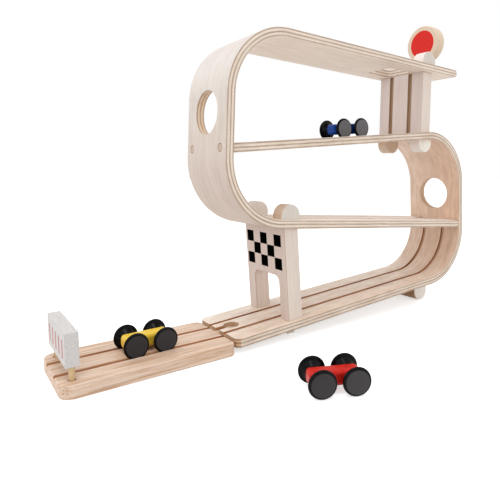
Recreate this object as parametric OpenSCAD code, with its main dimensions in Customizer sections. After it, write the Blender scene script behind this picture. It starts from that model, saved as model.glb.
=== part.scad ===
// Wooden click clack track: two bent plywood bands that face each other make four
// sloping decks, and small cars roll down, drop through an opening and turn back.
// X runs along the decks, Y across them with 0 at mid width, Z up from the floor.
// X is 0 under the outer corner of the left bend. All sizes are in millimetres.

/* [Plywood bands] */
// thickness of the bent plywood
ply = 11; // [8:0.5:12]
// width of the bands across the track
width = 94; // [88:1:104]
// outside height of each bent band, from deck to deck
band_h = 237; // [225:1:250]
// outside radius of the four bends
bend_r = 84; // [74:1:92]
// diameter of the hand hole in each end wall
hand_hole_d = 52; // [40:1:56]
// height of the hand holes' centres up the end walls
hand_hole_v = 134; // [120:1:136]

/* [Slopes] */
// fall of the top deck to the right, in degrees
slope_1 = 2.8; // [2:0.1:3.4]
// fall of the second deck to the left, in degrees
slope_2 = 3.6; // [3:0.1:4.2]
// fall of the third deck to the right, in degrees
slope_3 = 4.3; // [3.6:0.1:4.8]
// fall of the base deck to the left, in degrees
slope_4 = 3.6; // [3:0.1:3.8]
// lean of the left end wall, in degrees
lean_left = 2.9; // [2:0.1:4]
// lean of the right end wall, in degrees
lean_right = 3; // [2:0.1:4]

/* [Layout] */
// height of the left band's lower outer corner above the floor
left_z = 147.3; // [140:0.1:155]
// where the right band's lower outer corner stands along the track
right_x = 460.5; // [450:0.5:475]
// height of the right band's lower outer corner above the floor
right_z = 34.4; // [33:0.1:38]
// free right end of the top deck
deck_1_end = 430; // [415:1:445]
// left end of the base deck
base_end = 16.5; // [10:0.5:20]

/* [Wheel grooves and openings] */
// distance between the centres of the two wheel grooves
gauge = 35; // [33:0.5:37]
// width of the grooves in the decks
groove_w = 5.4; // [4.6:0.1:6]
// depth of the grooves
groove_d = 3.2; // [2.4:0.1:4]
// how far under a deck the grooves in the end walls start
groove_start = 1; // [0.5:0.5:12]
// width of the openings that a car drops through
drop_w = 44; // [42:0.5:48]
// length of those openings along the deck
drop_len = 52; // [46:1:58]
// radius of their corners
drop_r = 6; // [3:0.5:10]

/* [Start panel and finish gate] */
// thickness of the two upright boards
board_t = 22; // [18:0.5:24]
// how far the centre of the start panel's foot is from the top deck's free end
panel_x = 67.5; // [58:0.5:80]
// lean of the start panel to the right, in degrees
panel_lean = 1.8; // [0:0.1:2.8]
// how far each side of the start panel is inside the deck's edge
panel_inset = 7; // [4:0.5:10]
// width of the two upright grooves in the start panel
panel_groove_w = 7; // [6:0.5:8]
// centre of the finish gate along the track, at its foot
gate_x = 106; // [100:0.5:114]
// how far each side of the finish gate is inside the deck's edge
gate_inset = 4; // [3:0.5:8]
// width of the arch that cars pass under
arch_w = 54; // [50:1:58]
// height of that arch above the base deck
arch_h = 56; // [50:1:64]
// radius of the arch's top corners
arch_r = 9; // [5:1:14]

/* [Caps, pins and feet] */
// width of the half-round caps and of the rear foot
cap_w = 29; // [26:0.5:31]
// height of a cap above its deck
cap_h = 19; // [16:0.5:22]
// length of a cap across the track
cap_len = 18; // [14:0.5:19]
// how far a cap on top of a deck is inside the deck's edge
cap_inset = 4; // [2:0.5:6]
// diameter of the dowel pins that hold the boards and caps
pin_d = 8; // [6:0.5:10]
// depth of those pins in a board
pin_in_board = 20; // [12:1:24]
// wood left in a cap over a pin's end
cap_skin = 6.5; // [4:0.5:9]
// diameter of the wooden plugs in the end walls
plug_d = 9.6; // [8:0.2:10.4]
// thickness of a plug's head
plug_head = 4.5; // [3:0.5:6]
// diameter of a plug's shank
plug_shank_d = 5; // [4:0.2:5.6]
// length of a plug from the wall's outer face
plug_len = 24; // [18:0.5:26]
// where the tall rear foot stands along the track
rear_foot_x = 376; // [360:1:390]
// length of both feet across the track
foot_len = 54; // [44:1:70]
// width of the low front foot along the track
front_foot_w = 22; // [16:1:28]

/* [Sign] */
// diameter of the round sign on the top deck
sign_d = 56.5; // [48:0.5:60]
// thickness of the sign
sign_t = 17.5; // [16:0.5:22]
// how far the sign's left face is from the top deck's free end
sign_x = 25; // [24:0.5:32]
// gap between the sign and the deck under it
sign_lift = 18; // [12:0.5:22]
// diameter of the sign's post
post_d = 10; // [8:0.5:12]
// depth of the post in the sign
post_in_sign = 12; // [8:0.5:20]
// depth of the post in the deck
post_in_deck = 5; // [3:0.5:7]

/* [Tray] */
// left end of the tray
tray_left = -177.5; // [-200:0.5:-170]
// thickness of the tray
tray_h = 14.1; // [12:0.1:14.6]
// how far each side of the tray stands past the decks
tray_over = 0.8; // [0:0.1:2]
// wood left under the stop board's dowels
tray_skin = 4.2; // [2:0.1:6]
// radius of the tray's corners at its free end
tray_corner_r = 13; // [9:0.5:16]
// radius of the tray's and the base's corners where they meet
corner_r = 9; // [6:0.5:12]
// radius of the round knob on the tray's tongue
knob_r = 9.2; // [8:0.2:12]
// width of the tongue's neck
neck_w = 8; // [6:0.5:11]
// distance from the base's end to the knob's centre
knob_reach = 20; // [18:0.5:24]

/* [Stop board] */
// left face of the stop board
stop_x = -171; // [-172:0.5:-160]
// thickness of the stop board
stop_t = 13.6; // [12:0.1:16]
// length of the stop board across the track
stop_w = 80; // [70:1:86]
// height of the stop board
stop_h = 34; // [30:0.5:38]
// gap between the tray and the stop board
stop_lift = 14; // [10:0.5:18]
// diameter of the stop board's two dowels
stop_dowel_d = 6; // [5:0.5:8]
// distance between those dowels
stop_dowel_gap = 69; // [56:1:70]
// depth of those dowels in the stop board
dowel_in_stop = 12; // [8:0.5:20]

/* [Cars] */
// diameter of a wheel
wheel_d = 28.6; // [27.4:0.2:30]
// distance between a car's axles
wheelbase = 34; // [33:0.5:38]
// thickness of a wheel's rim
rim_t = 3.4; // [2.6:0.2:4]
// radius of a wheel's hub against the body
hub_r = 6.6; // [5:0.2:8]
// rounding of a wheel's outer edge
edge_r = 1.4; // [0.6:0.1:1.6]
// length of a car's body
body_len = 53; // [48:0.5:58]
// width of a car's body
body_w = 18; // [14:0.5:20]
// height of a car's body
body_h = 14.6; // [12:0.2:16]
// radius of the body's corners seen from the side
body_side_r = 4.4; // [2:0.2:5.5]
// radius of the body's corners seen from above
body_plan_r = 3.6; // [2:0.2:5.5]
// diameter of an axle
axle_d = 4; // [3:0.2:5]
// wall left between an axle's end and the wheel's outer face
axle_skin = 2.6; // [1.6:0.2:3.6]
// middle of the yellow car along the track
yellow_x = -76; // [-100:1:-60]
// middle of the blue car along the track
blue_x = 232; // [200:1:260]
// middle of the red car along the track
red_x = 48.5; // [0:0.1:200]
// middle of the red car across the track
red_y = -172.1; // [-250:0.1:-120]
// heading of the red car, in degrees
red_turn = -23.3; // [-60:0.1:60]

/* [Hidden] */
bend_steps = 20;            // straight strips in each bend
corner_steps = 6;           // straight strips in a small corner
$fn = 48;
pin_gap = 0.05;             // radial gap round a glued or sliding pin
run_gap = 0.05;             // radial gap round a turning axle
groove_gap = 0.25;          // from a wheel's rim to the bottom of its groove
glue = 0.05;                // glue line between fixed pieces
joint_gap = 1;              // between the base's end and the tray
key_gap = 0.6;              // round the tray's tongue
hub_gap = 0.4;              // between a wheel and the car's body
pin_end_gap = 0.5;          // past the end of a pin in its hole
past = 1;                   // how far a cutter runs past a face
big = 600;                  // longer than any piece
wheel_r = wheel_d/2;
sink = groove_d - groove_gap;
groove_y = gauge/2;
half = width/2;
side_y = half - cap_inset - cap_len/2;    // upper caps and pins each side of the middle
low_y = half - panel_inset - cap_len/2;   // lower caps line up with the panel's sides
plug_y = (half + drop_w/2)/2;             // middle of the strip beside an opening
pin_in_cap = cap_h - cap_skin;            // depth of a pin in a cap
panel_half = board_t/cos(panel_lean)/2;   // half the start panel's level thickness
panel_at = deck_1_end - panel_x;          // the start panel's foot along the track
sign_at = deck_1_end - sign_x;            // the sign's left face along the track

// Deck and wall lines
// angles of the decks against the square of their own wall
turn_1 = lean_left - slope_1;
turn_3 = lean_left - slope_3;
turn_2 = lean_right - slope_2;
turn_4 = lean_right - slope_4;

// from a band's own plane, u off the wall and v up it, to the track's x and z
function on_left(p) = [cos(lean_left)*p.x + sin(lean_left)*p.y,
                       left_z - sin(lean_left)*p.x + cos(lean_left)*p.y];
function on_right(p) = [right_x - cos(lean_right)*p.x - sin(lean_right)*p.y,
                        right_z - sin(lean_right)*p.x + cos(lean_right)*p.y];

// slope of a deck's top as rise over run to the right
function rise(deck) = [-tan(slope_1), tan(slope_2), -tan(slope_3), tan(slope_4)][deck - 1];
deck_lift = [0, 0, ply/cos(slope_3), ply/cos(slope_4)];
deck_from = [on_left([0, band_h]), on_right([0, band_h]), on_left([0, 0]), on_right([0, 0])];

// height of a deck's upper and lower face at x
function deck_top(deck, x) =
    deck_from[deck - 1].y + deck_lift[deck - 1] + rise(deck)*(x - deck_from[deck - 1].x);
function deck_under(deck, x) = deck_top(deck, x) - ply*sqrt(1 + rise(deck)*rise(deck));

// inner faces of the end walls at height z
function left_face(z) = ply/cos(lean_left) + (z - left_z)*tan(lean_left);
function right_face(z) = right_x - ply/cos(lean_right) - (z - right_z)*tan(lean_right);

// where the start panel's top and the finish gate's top meet the decks
panel_top_x = panel_at + (deck_under(1, panel_at) - deck_top(2, panel_at))*tan(panel_lean);
gate_top_x = gate_x - (deck_under(3, gate_x) - deck_top(4, gate_x))*tan(slope_4);

// where the decks stop
drop_1 = panel_top_x - panel_half;
end_2 = left_face(deck_top(2, ply) - ply/2);
end_3 = right_face(deck_top(3, right_x - 2*ply) - ply/2);
tray_right = base_end - joint_gap;
knob_x = base_end + knob_reach;

// Shared outlines

// points on an arc about c
function arc(c, r, from, to, steps = bend_steps) =
    [for (i = [0:steps]) let (a = from + (to - from)*i/steps) c + r*[cos(a), sin(a)]];

// the same points the other way round
function back(list) = [for (i = [len(list) - 1:-1:0]) list[i]];

// a rectangle with round corners, from its lowest corner
function rounded(low, size, r) = concat(
    arc(low + [size.x - r, r], r, -90, 0, corner_steps),
    arc(low + [size.x - r, size.y - r], r, 0, 90, corner_steps),
    arc(low + [r, size.y - r], r, 90, 180, corner_steps),
    arc(low + [r, r], r, 180, 270, corner_steps));

// centres of a band's upper and lower bend, in its own plane
function top_bend(turn) = [bend_r, band_h + bend_r*tan(turn) - bend_r/cos(turn)];
function low_bend(turn) = [bend_r, bend_r*tan(turn) + bend_r/cos(turn)];

// a point along a deck, measured from the bend, at some depth inside the band
function along_top(turn, run, inset) =
    top_bend(turn) + (bend_r - inset)*[-sin(turn), cos(turn)] + run*[cos(turn), sin(turn)];
function along_low(turn, run, inset) =
    low_bend(turn) + (bend_r - inset)*[sin(turn), -cos(turn)] + run*[cos(turn), sin(turn)];

// one face of a band from its upper deck's end, round the wall, to its lower deck's end
function band_face(turns, runs, inset) = concat(
    [along_top(turns[0], runs[0], inset)],
    arc(top_bend(turns[0]), bend_r - inset, 90 + turns[0], 180),
    arc(low_bend(turns[1]), bend_r - inset, 180, 270 + turns[1]),
    [along_low(turns[1], runs[1], inset)]);

// a band's whole outline, with round noses where a deck ends free
function band_outline(turns, runs, nose) = concat(
    band_face(turns, runs, 0),
    nose[1] ? arc(along_low(turns[1], runs[1], ply/2), ply/2,
                  turns[1] - 90, turns[1] + 90, corner_steps) : [],
    back(band_face(turns, runs, ply)),
    nose[0] ? arc(along_top(turns[0], runs[0], ply/2), ply/2,
                  turns[0] - 90, turns[0] + 90, corner_steps) : []);

// a groove down the wall's inner face, round the lower bend and along the deck
function inner_groove(turn, run) = concat(
    [[ply + past, low_bend(turn).y + ply]],
    arc(low_bend(turn), bend_r - ply - past, 180, 270 + turn),
    [along_low(turn, run, ply + past)],
    [along_low(turn, run, ply - groove_d)],
    back(arc(low_bend(turn), bend_r - ply + groove_d, 180, 270 + turn)),
    [[ply - groove_d, low_bend(turn).y + ply]]);

// how far a deck runs past its bend to reach x
function run_to(start, x, slope) = abs(x - start.x)/cos(slope);
run_1 = run_to(on_left(along_top(turn_1, 0, ply/2)), deck_1_end - ply/2, slope_1);
run_2 = run_to(on_right(along_top(turn_2, 0, ply/2)), end_2 - ply, slope_2);
run_3 = run_to(on_left(along_low(turn_3, 0, ply/2)), end_3 - ply/2, slope_3);
run_4 = run_to(on_right(along_low(turn_4, 0, ply)), base_end, slope_4);

// Shared shapes

// turns an x and z outline into a solid across the track, centred on y
module across(span, y = 0)
    translate([0, y, 0]) rotate([90, 0, 0]) linear_extrude(height = span, center = true) children();

// both sides of the track
module each_side(y)
    for (side = [-1, 1]) translate([0, side*y, 0]) children();

// a place on a deck's upper face, with Z square to the deck
module on_deck(deck, x)
    translate([x, 0, deck_top(deck, x)]) rotate([0, -atan(rise(deck)), 0]) children();

// two straight grooves in a deck's upper face
module deck_grooves(deck, x0, x1)
    each_side(groove_y) across(groove_w) polygon([
        [x0, deck_top(deck, x0) - groove_d], [x1, deck_top(deck, x1) - groove_d],
        [x1, deck_top(deck, x1) + past], [x0, deck_top(deck, x0) + past]]);

// the two wall grooves, which start at a height on the wall
module wall_grooves(from_z) each_side(groove_y) across(groove_w) intersection() {
    children();
    translate([-big, from_z - big]) square([3*big, big]);
}

// an upright cut with round corners through one deck
module drop_cut(deck, x0, x1)
    translate([0, 0, deck_under(deck, (x0 + x1)/2) - ply]) linear_extrude(height = 3*ply)
        polygon(rounded([x0, -drop_w/2], [x1 - x0, drop_w], drop_r));

// what is cut off a square corner to round it; the wood lies towards +x and -y
module corner_cut(h) linear_extrude(height = h) difference() {
    translate([-past, -corner_r]) square(corner_r + past);
    translate([corner_r, -corner_r]) circle(r = corner_r);
}

// a leaning board's side view, from its foot's centre
module slab(x, z, lean) translate([x, z]) rotate(-lean)
    translate([-board_t/2, -2*ply]) square([board_t, band_h]);

// side view of the space between two decks around x
module space(low, high, x) polygon([
    for (e = [-1, 1]) [x + e*2*board_t, deck_top(low, x + e*2*board_t) + glue],
    for (e = [1, -1]) [x + e*2*board_t, deck_under(high, x + e*2*board_t) - glue]]);

// half-round outline standing on y = 0
function dome(w, h) = concat([[w/2, 0]], arc([0, h - w/2], w/2, 0, 180, bend_steps), [[-w/2, 0]]);

// a pin's axis square to a deck at x; positive heights are above the upper face
module pin_hole(deck, x, y, low, high)
    on_deck(deck, x) translate([0, y, low]) cylinder(d = pin_d + 2*pin_gap, h = high - low);
module pin(deck, x, y, low, high)
    color(dowel_wood) on_deck(deck, x) translate([0, y, low]) cylinder(d = pin_d, h = high - low);

// the pins from a board under a deck into the cap on it, from a cap into the board above, and
// from a deck alone into the board above
module pin_to_upper_cap(deck, x, y) pin(deck, x, y, -ply - pin_in_board, pin_in_cap);
module pin_to_lower_cap(deck, x, y) pin(deck, x, y, -ply - pin_in_cap, pin_in_board);
module pin_from_deck(deck, x, y) pin(deck, x, y, -ply, pin_in_board);

// Colours
birch = [0.86, 0.78, 0.68];
dowel_wood = [0.80, 0.70, 0.58];
rubberwood = [0.80, 0.64, 0.52];
off_white = [0.80, 0.79, 0.77];
sign_red = [0.80, 0.12, 0.10];
wheel_black = [0.08, 0.08, 0.09];
steel = [0.62, 0.63, 0.65];
car_yellow = [0.95, 0.80, 0.35];
car_blue = [0.12, 0.32, 0.66];
car_red = [0.86, 0.13, 0.11];

// Bent bands

// the end walls as slabs, to trim the decks that butt against them
module left_wall_zone()
    across(2*width) polygon([for (p = [[-ply, bend_r/2], [ply, bend_r/2],
        [ply, band_h - bend_r/2], [-ply, band_h - bend_r/2]]) on_left(p)]);
module right_wall_zone()
    across(2*width) polygon([for (p = [[-ply, bend_r/2], [ply, bend_r/2],
        [ply, band_h - bend_r/2], [-ply, band_h - bend_r/2]]) on_right(p)]);

// bores through an end wall, square to it, in the band's own plane
module left_wall_bore(v, y, d, from, to)
    translate([on_left([from, v]).x, y, on_left([from, v]).y])
        rotate([0, 90 + lean_left, 0]) cylinder(d = d, h = to - from);
module right_wall_bore(v, y, d, from, to)
    translate([on_right([from, v]).x, y, on_right([from, v]).y])
        rotate([0, -90 - lean_right, 0]) cylinder(d = d, h = to - from);

// plugs hold the prongs of the decks that end at a wall
left_plug_v = (deck_top(2, end_2) - ply/2 - left_z)/cos(lean_left) + ply*sin(lean_left);
right_plug_v = (deck_top(3, end_3) - ply/2 - right_z)/cos(lean_right) + ply*sin(lean_right);
module left_plug(y, gap = 0) {
    left_wall_bore(left_plug_v, y, plug_d + 2*gap, -gap, plug_head + gap);
    left_wall_bore(left_plug_v, y, plug_shank_d + 2*gap, 0, plug_len + gap);
}
module right_plug(y, gap = 0) {
    right_wall_bore(right_plug_v, y, plug_d + 2*gap, -gap, plug_head + gap);
    right_wall_bore(right_plug_v, y, plug_shank_d + 2*gap, 0, plug_len + gap);
}
module plug_holes() each_side(plug_y) {
    left_plug(0, pin_gap);
    right_plug(0, pin_gap);
}

// side views of the two bands before anything is cut
module upper_side()
    polygon([for (p = band_outline([turn_1, turn_3], [run_1, run_3], [true, true])) on_left(p)]);
module lower_side()
    polygon([for (p = band_outline([turn_2, turn_4], [run_2, run_4], [false, false])) on_right(p)]);

// left band: top deck, left wall and third deck
module upper_band() color(birch) difference() {
    across(width) upper_side();
    right_wall_zone();
    left_wall_bore(hand_hole_v, 0, hand_hole_d, -ply, 2*ply);
    drop_cut(1, drop_1 - drop_len, drop_1);
    drop_cut(3, end_3 - drop_len + ply, end_3 + ply);
    deck_grooves(1, bend_r, drop_1 - drop_len/2);
    wall_grooves(deck_under(2, end_2) - groove_start)
        polygon([for (p = inner_groove(turn_3, run_3 - drop_len/2)) on_left(p)]);
    each_side(side_y) {
        pin_hole(1, panel_top_x, 0, -2*ply, ply);
        pin_hole(3, gate_top_x, 0, -2*ply, ply);
    }
    plug_holes();
    translate([post_x, 0, deck_top(1, post_x) - post_in_deck - pin_end_gap])
        cylinder(d = post_d + 2*pin_gap, h = ply);
}

// right band: second deck, right wall and base deck
module lower_band() color(birch) difference() {
    across(width) lower_side();
    left_wall_zone();
    right_wall_bore(hand_hole_v, 0, hand_hole_d, -ply, 2*ply);
    drop_cut(2, end_2 - ply, end_2 + drop_len);
    deck_grooves(2, end_2 + drop_len/2, panel_at - panel_half);
    wall_grooves(deck_under(3, end_3) - groove_start)
        polygon([for (p = inner_groove(turn_4, run_4 + ply)) on_right(p)]);
    each_side(low_y) pin_hole(2, panel_at, 0, -2*ply, ply);
    each_side(side_y) pin_hole(4, gate_x, 0, -2*ply, ply);
    plug_holes();
    for (side = [0, 1]) mirror([0, side, 0]) translate([base_end, half, 0]) corner_cut(bend_r/2);
    tongue(key_gap, -past, deck_top(4, base_end) + 3*ply);
}

// Upright boards

// start panel: leans a little, ends cut to the decks, two grooves guide the falling wheels
module start_panel() color(birch) difference() {
    across(width - 2*panel_inset) intersection() {
        slab(panel_at, deck_top(2, panel_at), panel_lean);
        space(2, 1, panel_at);
    }
    each_side(groove_y) translate([panel_at, 0, deck_top(2, panel_at)]) rotate([0, panel_lean, 0])
        translate([-board_t/2 - past, -panel_groove_w/2, -2*ply])
            cube([past + groove_d, panel_groove_w, band_h]);
    each_side(side_y) pin_hole(1, panel_top_x, 0, -ply - pin_in_board - pin_end_gap, 0);
    each_side(low_y) pin_hole(2, panel_at, 0, -ply, pin_in_board + pin_end_gap);
}

// finish gate: square to the base deck, with an arch that the cars pass under
module finish_gate() color(birch) difference() {
    across(width - 2*gate_inset) intersection() {
        slab(gate_x, deck_top(4, gate_x), -slope_4);
        space(4, 3, gate_x);
    }
    on_deck(4, gate_x) rotate([90, 0, 90]) linear_extrude(height = 3*board_t, center = true)
        polygon(rounded([-arch_w/2, -arch_h], [arch_w, 2*arch_h], arch_r));
    each_side(side_y) {
        pin_hole(3, gate_top_x, 0, -ply - pin_in_board - pin_end_gap, 0);
        pin_hole(4, gate_x, 0, -ply, pin_in_board + pin_end_gap);
    }
}

// half-round cap on a deck's upper face (up = 1) or under it (up = -1), where it is cut to the bend
module cap(deck, x, y, up) color(birch) difference() {
    on_deck(deck, x) translate([0, y, up > 0 ? glue : -ply - glue]) mirror([0, 0, up > 0 ? 0 : 1])
        rotate([90, 0, 0]) linear_extrude(height = cap_len, center = true) polygon(dome(cap_w, cap_h));
    pin_hole(deck, x, y, up > 0 ? -ply : -ply - pin_in_cap - pin_end_gap,
             up > 0 ? pin_in_cap + pin_end_gap : ply);
    if (up < 0) translate([0, 0, -glue]) across(width) lower_side();
}

// Feet

// tall half-round bar that lifts the right end
module rear_foot() color(birch) difference() {
    across(foot_len) polygon([for (p = dome(cap_w, deck_top(4, rear_foot_x)))
        [rear_foot_x + p.x, deck_top(4, rear_foot_x) - p.y]]);
    across(width) polygon([for (e = [[-1, 0], [1, 0], [1, 1], [-1, 1]])
        let (x = rear_foot_x + e[0]*cap_w) [x, deck_under(4, x) - glue + e[1]*3*ply]]);
}

// low strip under the finish gate
module front_foot() color(birch) across(foot_len) polygon([
    [gate_x - front_foot_w/2, 0], [gate_x + front_foot_w/2, 0],
    [gate_x + front_foot_w/2, deck_under(4, gate_x + front_foot_w/2) - glue],
    [gate_x - front_foot_w/2, deck_under(4, gate_x - front_foot_w/2) - glue]]);

// Sign

post_x = sign_at + sign_t/2;
sign_low = deck_top(1, post_x) + sign_lift;

module sign_disc() color(sign_red) difference() {
    translate([sign_at, 0, sign_low + sign_d/2]) rotate([0, 90, 0])
        cylinder(d = sign_d, h = sign_t, $fn = 72);
    translate([post_x, 0, sign_low - past])
        cylinder(d = post_d + 2*pin_gap, h = past + post_in_sign + pin_end_gap);
}

module sign_post() color(dowel_wood)
    translate([post_x, 0, deck_top(1, post_x) - post_in_deck])
        cylinder(d = post_d, h = post_in_deck + sign_lift + post_in_sign);

// Tray and stop board

// the jigsaw tongue that fits the base's keyhole, or its cutter when gap is given
module tongue(gap, low, high) translate([0, 0, low]) {
    translate([knob_x, 0, 0]) cylinder(r = knob_r + gap, h = high - low);
    translate([tray_right - past, -neck_w/2 - gap, 0]) cube([knob_reach, neck_w + 2*gap, high - low]);
}

tray_w = width + 2*tray_over;
stop_mid = stop_x + stop_t/2;
stop_low = tray_h + stop_lift;
dowel_in_tray = tray_h - tray_skin;

// the tray seen from above, without its tongue
tray_plan = concat(
    arc([tray_right - corner_r, corner_r - tray_w/2], corner_r, -90, 0, corner_steps),
    arc([tray_right - corner_r, tray_w/2 - corner_r], corner_r, 0, 90, corner_steps),
    arc([tray_left + tray_corner_r, tray_w/2 - tray_corner_r], tray_corner_r, 90, 180, corner_steps),
    arc([tray_left + tray_corner_r, tray_corner_r - tray_w/2], tray_corner_r, 180, 270, corner_steps));

module tray() color(rubberwood) difference() {
    union() {
        linear_extrude(height = tray_h) polygon(tray_plan);
        tongue(0, 0, tray_h);
    }
    each_side(groove_y) translate([tray_left - past, -groove_w/2, tray_h - groove_d])
        cube([big, groove_w, groove_d + past]);
    each_side(stop_dowel_gap/2) translate([stop_mid, 0, tray_h - dowel_in_tray - pin_end_gap])
        cylinder(d = stop_dowel_d + 2*pin_gap, h = tray_h);
}

module stop_board() color(off_white) difference() {
    translate([stop_x, -stop_w/2, stop_low]) cube([stop_t, stop_w, stop_h]);
    each_side(stop_dowel_gap/2) translate([stop_mid, 0, stop_low - past])
        cylinder(d = stop_dowel_d + 2*pin_gap, h = past + dowel_in_stop + pin_end_gap);
}

module stop_dowel(side) color(dowel_wood)
    translate([stop_mid, side*stop_dowel_gap/2, tray_h - dowel_in_tray])
        cylinder(d = stop_dowel_d, h = dowel_in_tray + stop_lift + dowel_in_stop);

// Cars, each in its own frame: X along its axles' row, Z up from the face it stands on

rim_out = groove_y + rim_t/2;             // outer face of a wheel from the car's middle
hub_in = body_w/2 + hub_gap;             // inner end of a wheel's hub
wheel_w = rim_out - hub_in;
cone_top = wheel_r - sink - 2*groove_gap; // the cone stays clear of the deck beside the groove

// slim bar with round corners seen from the side and from above
module car_body(paint) color(paint) difference() {
    intersection() {
        rotate([90, 0, 0]) linear_extrude(height = body_w, center = true)
            polygon(rounded([-body_len/2, -body_h/2], [body_len, body_h], body_side_r));
        linear_extrude(height = body_h, center = true)
            polygon(rounded([-body_len/2, -body_w/2], [body_len, body_w], body_plan_r));
    }
    for (end = [-1, 1]) translate([end*wheelbase/2, 0, 0]) rotate([90, 0, 0])
        cylinder(d = axle_d + 2*run_gap, h = 2*body_w, center = true);
}

module axle(end) color(steel) translate([end*wheelbase/2, 0, 0]) rotate([90, 0, 0])
    cylinder(d = axle_d, h = 2*(rim_out - axle_skin), center = true);

// thin rim outside for the groove, cone inside, blind bore for the axle
module wheel(end, side) color(wheel_black)
    translate([end*wheelbase/2, side*hub_in, 0]) rotate([-side*90, 0, 0]) difference() {
        rotate_extrude($fn = 64) polygon(concat(
            [[0, 0], [hub_r, 0], [cone_top, wheel_w - rim_t - groove_gap]],
            [[wheel_r - edge_r/2, wheel_w - rim_t], [wheel_r, wheel_w - rim_t + edge_r/2]],
            arc([wheel_r - edge_r, wheel_w - edge_r], edge_r, 0, 90, corner_steps),
            [[0, wheel_w]]));
        translate([0, 0, -past]) cylinder(d = axle_d, h = past + wheel_w - axle_skin);
    }

module on_tray() translate([yellow_x, 0, tray_h + wheel_r - sink]) children();
module on_second_deck() on_deck(2, blue_x) translate([0, 0, wheel_r - sink]) children();
module on_floor() translate([red_x, red_y, wheel_r]) rotate([0, 0, red_turn]) children();

// One line for each sub-part

upper_band();
lower_band();
start_panel();
finish_gate();
cap(1, panel_top_x, -side_y, 1);  // panel_cap_top_near
cap(1, panel_top_x, side_y, 1);  // panel_cap_top_far
cap(2, panel_at, -low_y, -1);  // panel_cap_low_near
cap(2, panel_at, low_y, -1);  // panel_cap_low_far
cap(3, gate_top_x, -side_y, 1);  // gate_cap_near
cap(3, gate_top_x, side_y, 1);  // gate_cap_far
pin_to_upper_cap(1, panel_top_x, -side_y);  // panel_pin_top_near
pin_to_upper_cap(1, panel_top_x, side_y);  // panel_pin_top_far
pin_to_lower_cap(2, panel_at, -low_y);  // panel_pin_low_near
pin_to_lower_cap(2, panel_at, low_y);  // panel_pin_low_far
pin_to_upper_cap(3, gate_top_x, -side_y);  // gate_pin_top_near
pin_to_upper_cap(3, gate_top_x, side_y);  // gate_pin_top_far
pin_from_deck(4, gate_x, -side_y);  // gate_pin_low_near
pin_from_deck(4, gate_x, side_y);  // gate_pin_low_far
color(dowel_wood) left_plug(-plug_y);  // left_plug_near
color(dowel_wood) left_plug(plug_y);  // left_plug_far
color(dowel_wood) right_plug(-plug_y);  // right_plug_near
color(dowel_wood) right_plug(plug_y);  // right_plug_far
rear_foot();
front_foot();
sign_disc();
sign_post();
tray();
stop_board();
stop_dowel(-1);  // stop_dowel_near
stop_dowel(1);  // stop_dowel_far
on_tray() car_body(car_yellow);  // yellow_body
on_tray() axle(-1);  // yellow_front_axle
on_tray() axle(1);  // yellow_rear_axle
on_tray() wheel(-1, -1);  // yellow_wheel_front_near
on_tray() wheel(-1, 1);  // yellow_wheel_front_far
on_tray() wheel(1, -1);  // yellow_wheel_rear_near
on_tray() wheel(1, 1);  // yellow_wheel_rear_far
on_second_deck() car_body(car_blue);  // blue_body
on_second_deck() axle(-1);  // blue_front_axle
on_second_deck() axle(1);  // blue_rear_axle
on_second_deck() wheel(-1, -1);  // blue_wheel_front_near
on_second_deck() wheel(-1, 1);  // blue_wheel_front_far
on_second_deck() wheel(1, -1);  // blue_wheel_rear_near
on_second_deck() wheel(1, 1);  // blue_wheel_rear_far
on_floor() car_body(car_red);  // red_body
on_floor() axle(-1);  // red_front_axle
on_floor() axle(1);  // red_rear_axle
on_floor() wheel(-1, -1);  // red_wheel_front_near
on_floor() wheel(-1, 1);  // red_wheel_front_far
on_floor() wheel(1, -1);  // red_wheel_rear_near
on_floor() wheel(1, 1);  // red_wheel_rear_far
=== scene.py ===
from math import asin, cos, pi, radians, sin, sqrt, tan

import bmesh
import bpy
import numpy as np
from mathutils import Matrix, Vector


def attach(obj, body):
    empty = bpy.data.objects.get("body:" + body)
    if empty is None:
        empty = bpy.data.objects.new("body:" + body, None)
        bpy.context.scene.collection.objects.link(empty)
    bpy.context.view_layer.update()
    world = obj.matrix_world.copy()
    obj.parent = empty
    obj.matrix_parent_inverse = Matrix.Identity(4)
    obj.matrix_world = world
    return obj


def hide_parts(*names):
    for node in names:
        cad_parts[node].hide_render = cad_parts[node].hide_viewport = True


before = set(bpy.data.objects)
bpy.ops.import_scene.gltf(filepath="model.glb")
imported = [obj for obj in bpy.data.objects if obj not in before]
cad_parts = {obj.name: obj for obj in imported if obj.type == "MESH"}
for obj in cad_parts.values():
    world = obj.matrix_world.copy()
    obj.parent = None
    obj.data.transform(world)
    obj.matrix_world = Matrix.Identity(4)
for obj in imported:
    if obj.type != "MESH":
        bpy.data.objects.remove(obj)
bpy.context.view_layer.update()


# Camera
# The track is seen from its left front corner, from about half a metre away and a little
# above the second deck, so the tray spreads towards the viewer and the far end closes up.
frame_px = 500
sensor = 36
focal_px = 471.17
axis_row = 204.7
view_from = Vector((-0.2620, -0.4969, 0.2190))
yaw = radians(33.52)
pitch = radians(4.83)
roll = 0.0111

ahead = Vector((sin(yaw)*cos(pitch), cos(yaw)*cos(pitch), -sin(pitch)))
level_right = Vector((cos(yaw), -sin(yaw), 0))
level_down = ahead.cross(level_right)
view_right = cos(roll)*level_right + sin(roll)*level_down
view_up = sin(roll)*level_right - cos(roll)*level_down

scene = bpy.context.scene
scene.view_settings.view_transform = "Standard"
camera_lens = bpy.data.cameras.new("photo_camera")
camera_lens.sensor_width = sensor
camera_lens.lens = sensor*focal_px/frame_px
camera_lens.shift_y = (axis_row - frame_px/2)/frame_px
camera = bpy.data.objects.new("photo_camera", camera_lens)
turned = Matrix((view_right, view_up, -ahead)).transposed().to_4x4()
camera.matrix_world = Matrix.Translation(view_from) @ turned
scene.collection.objects.link(camera)
scene.camera = camera


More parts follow.
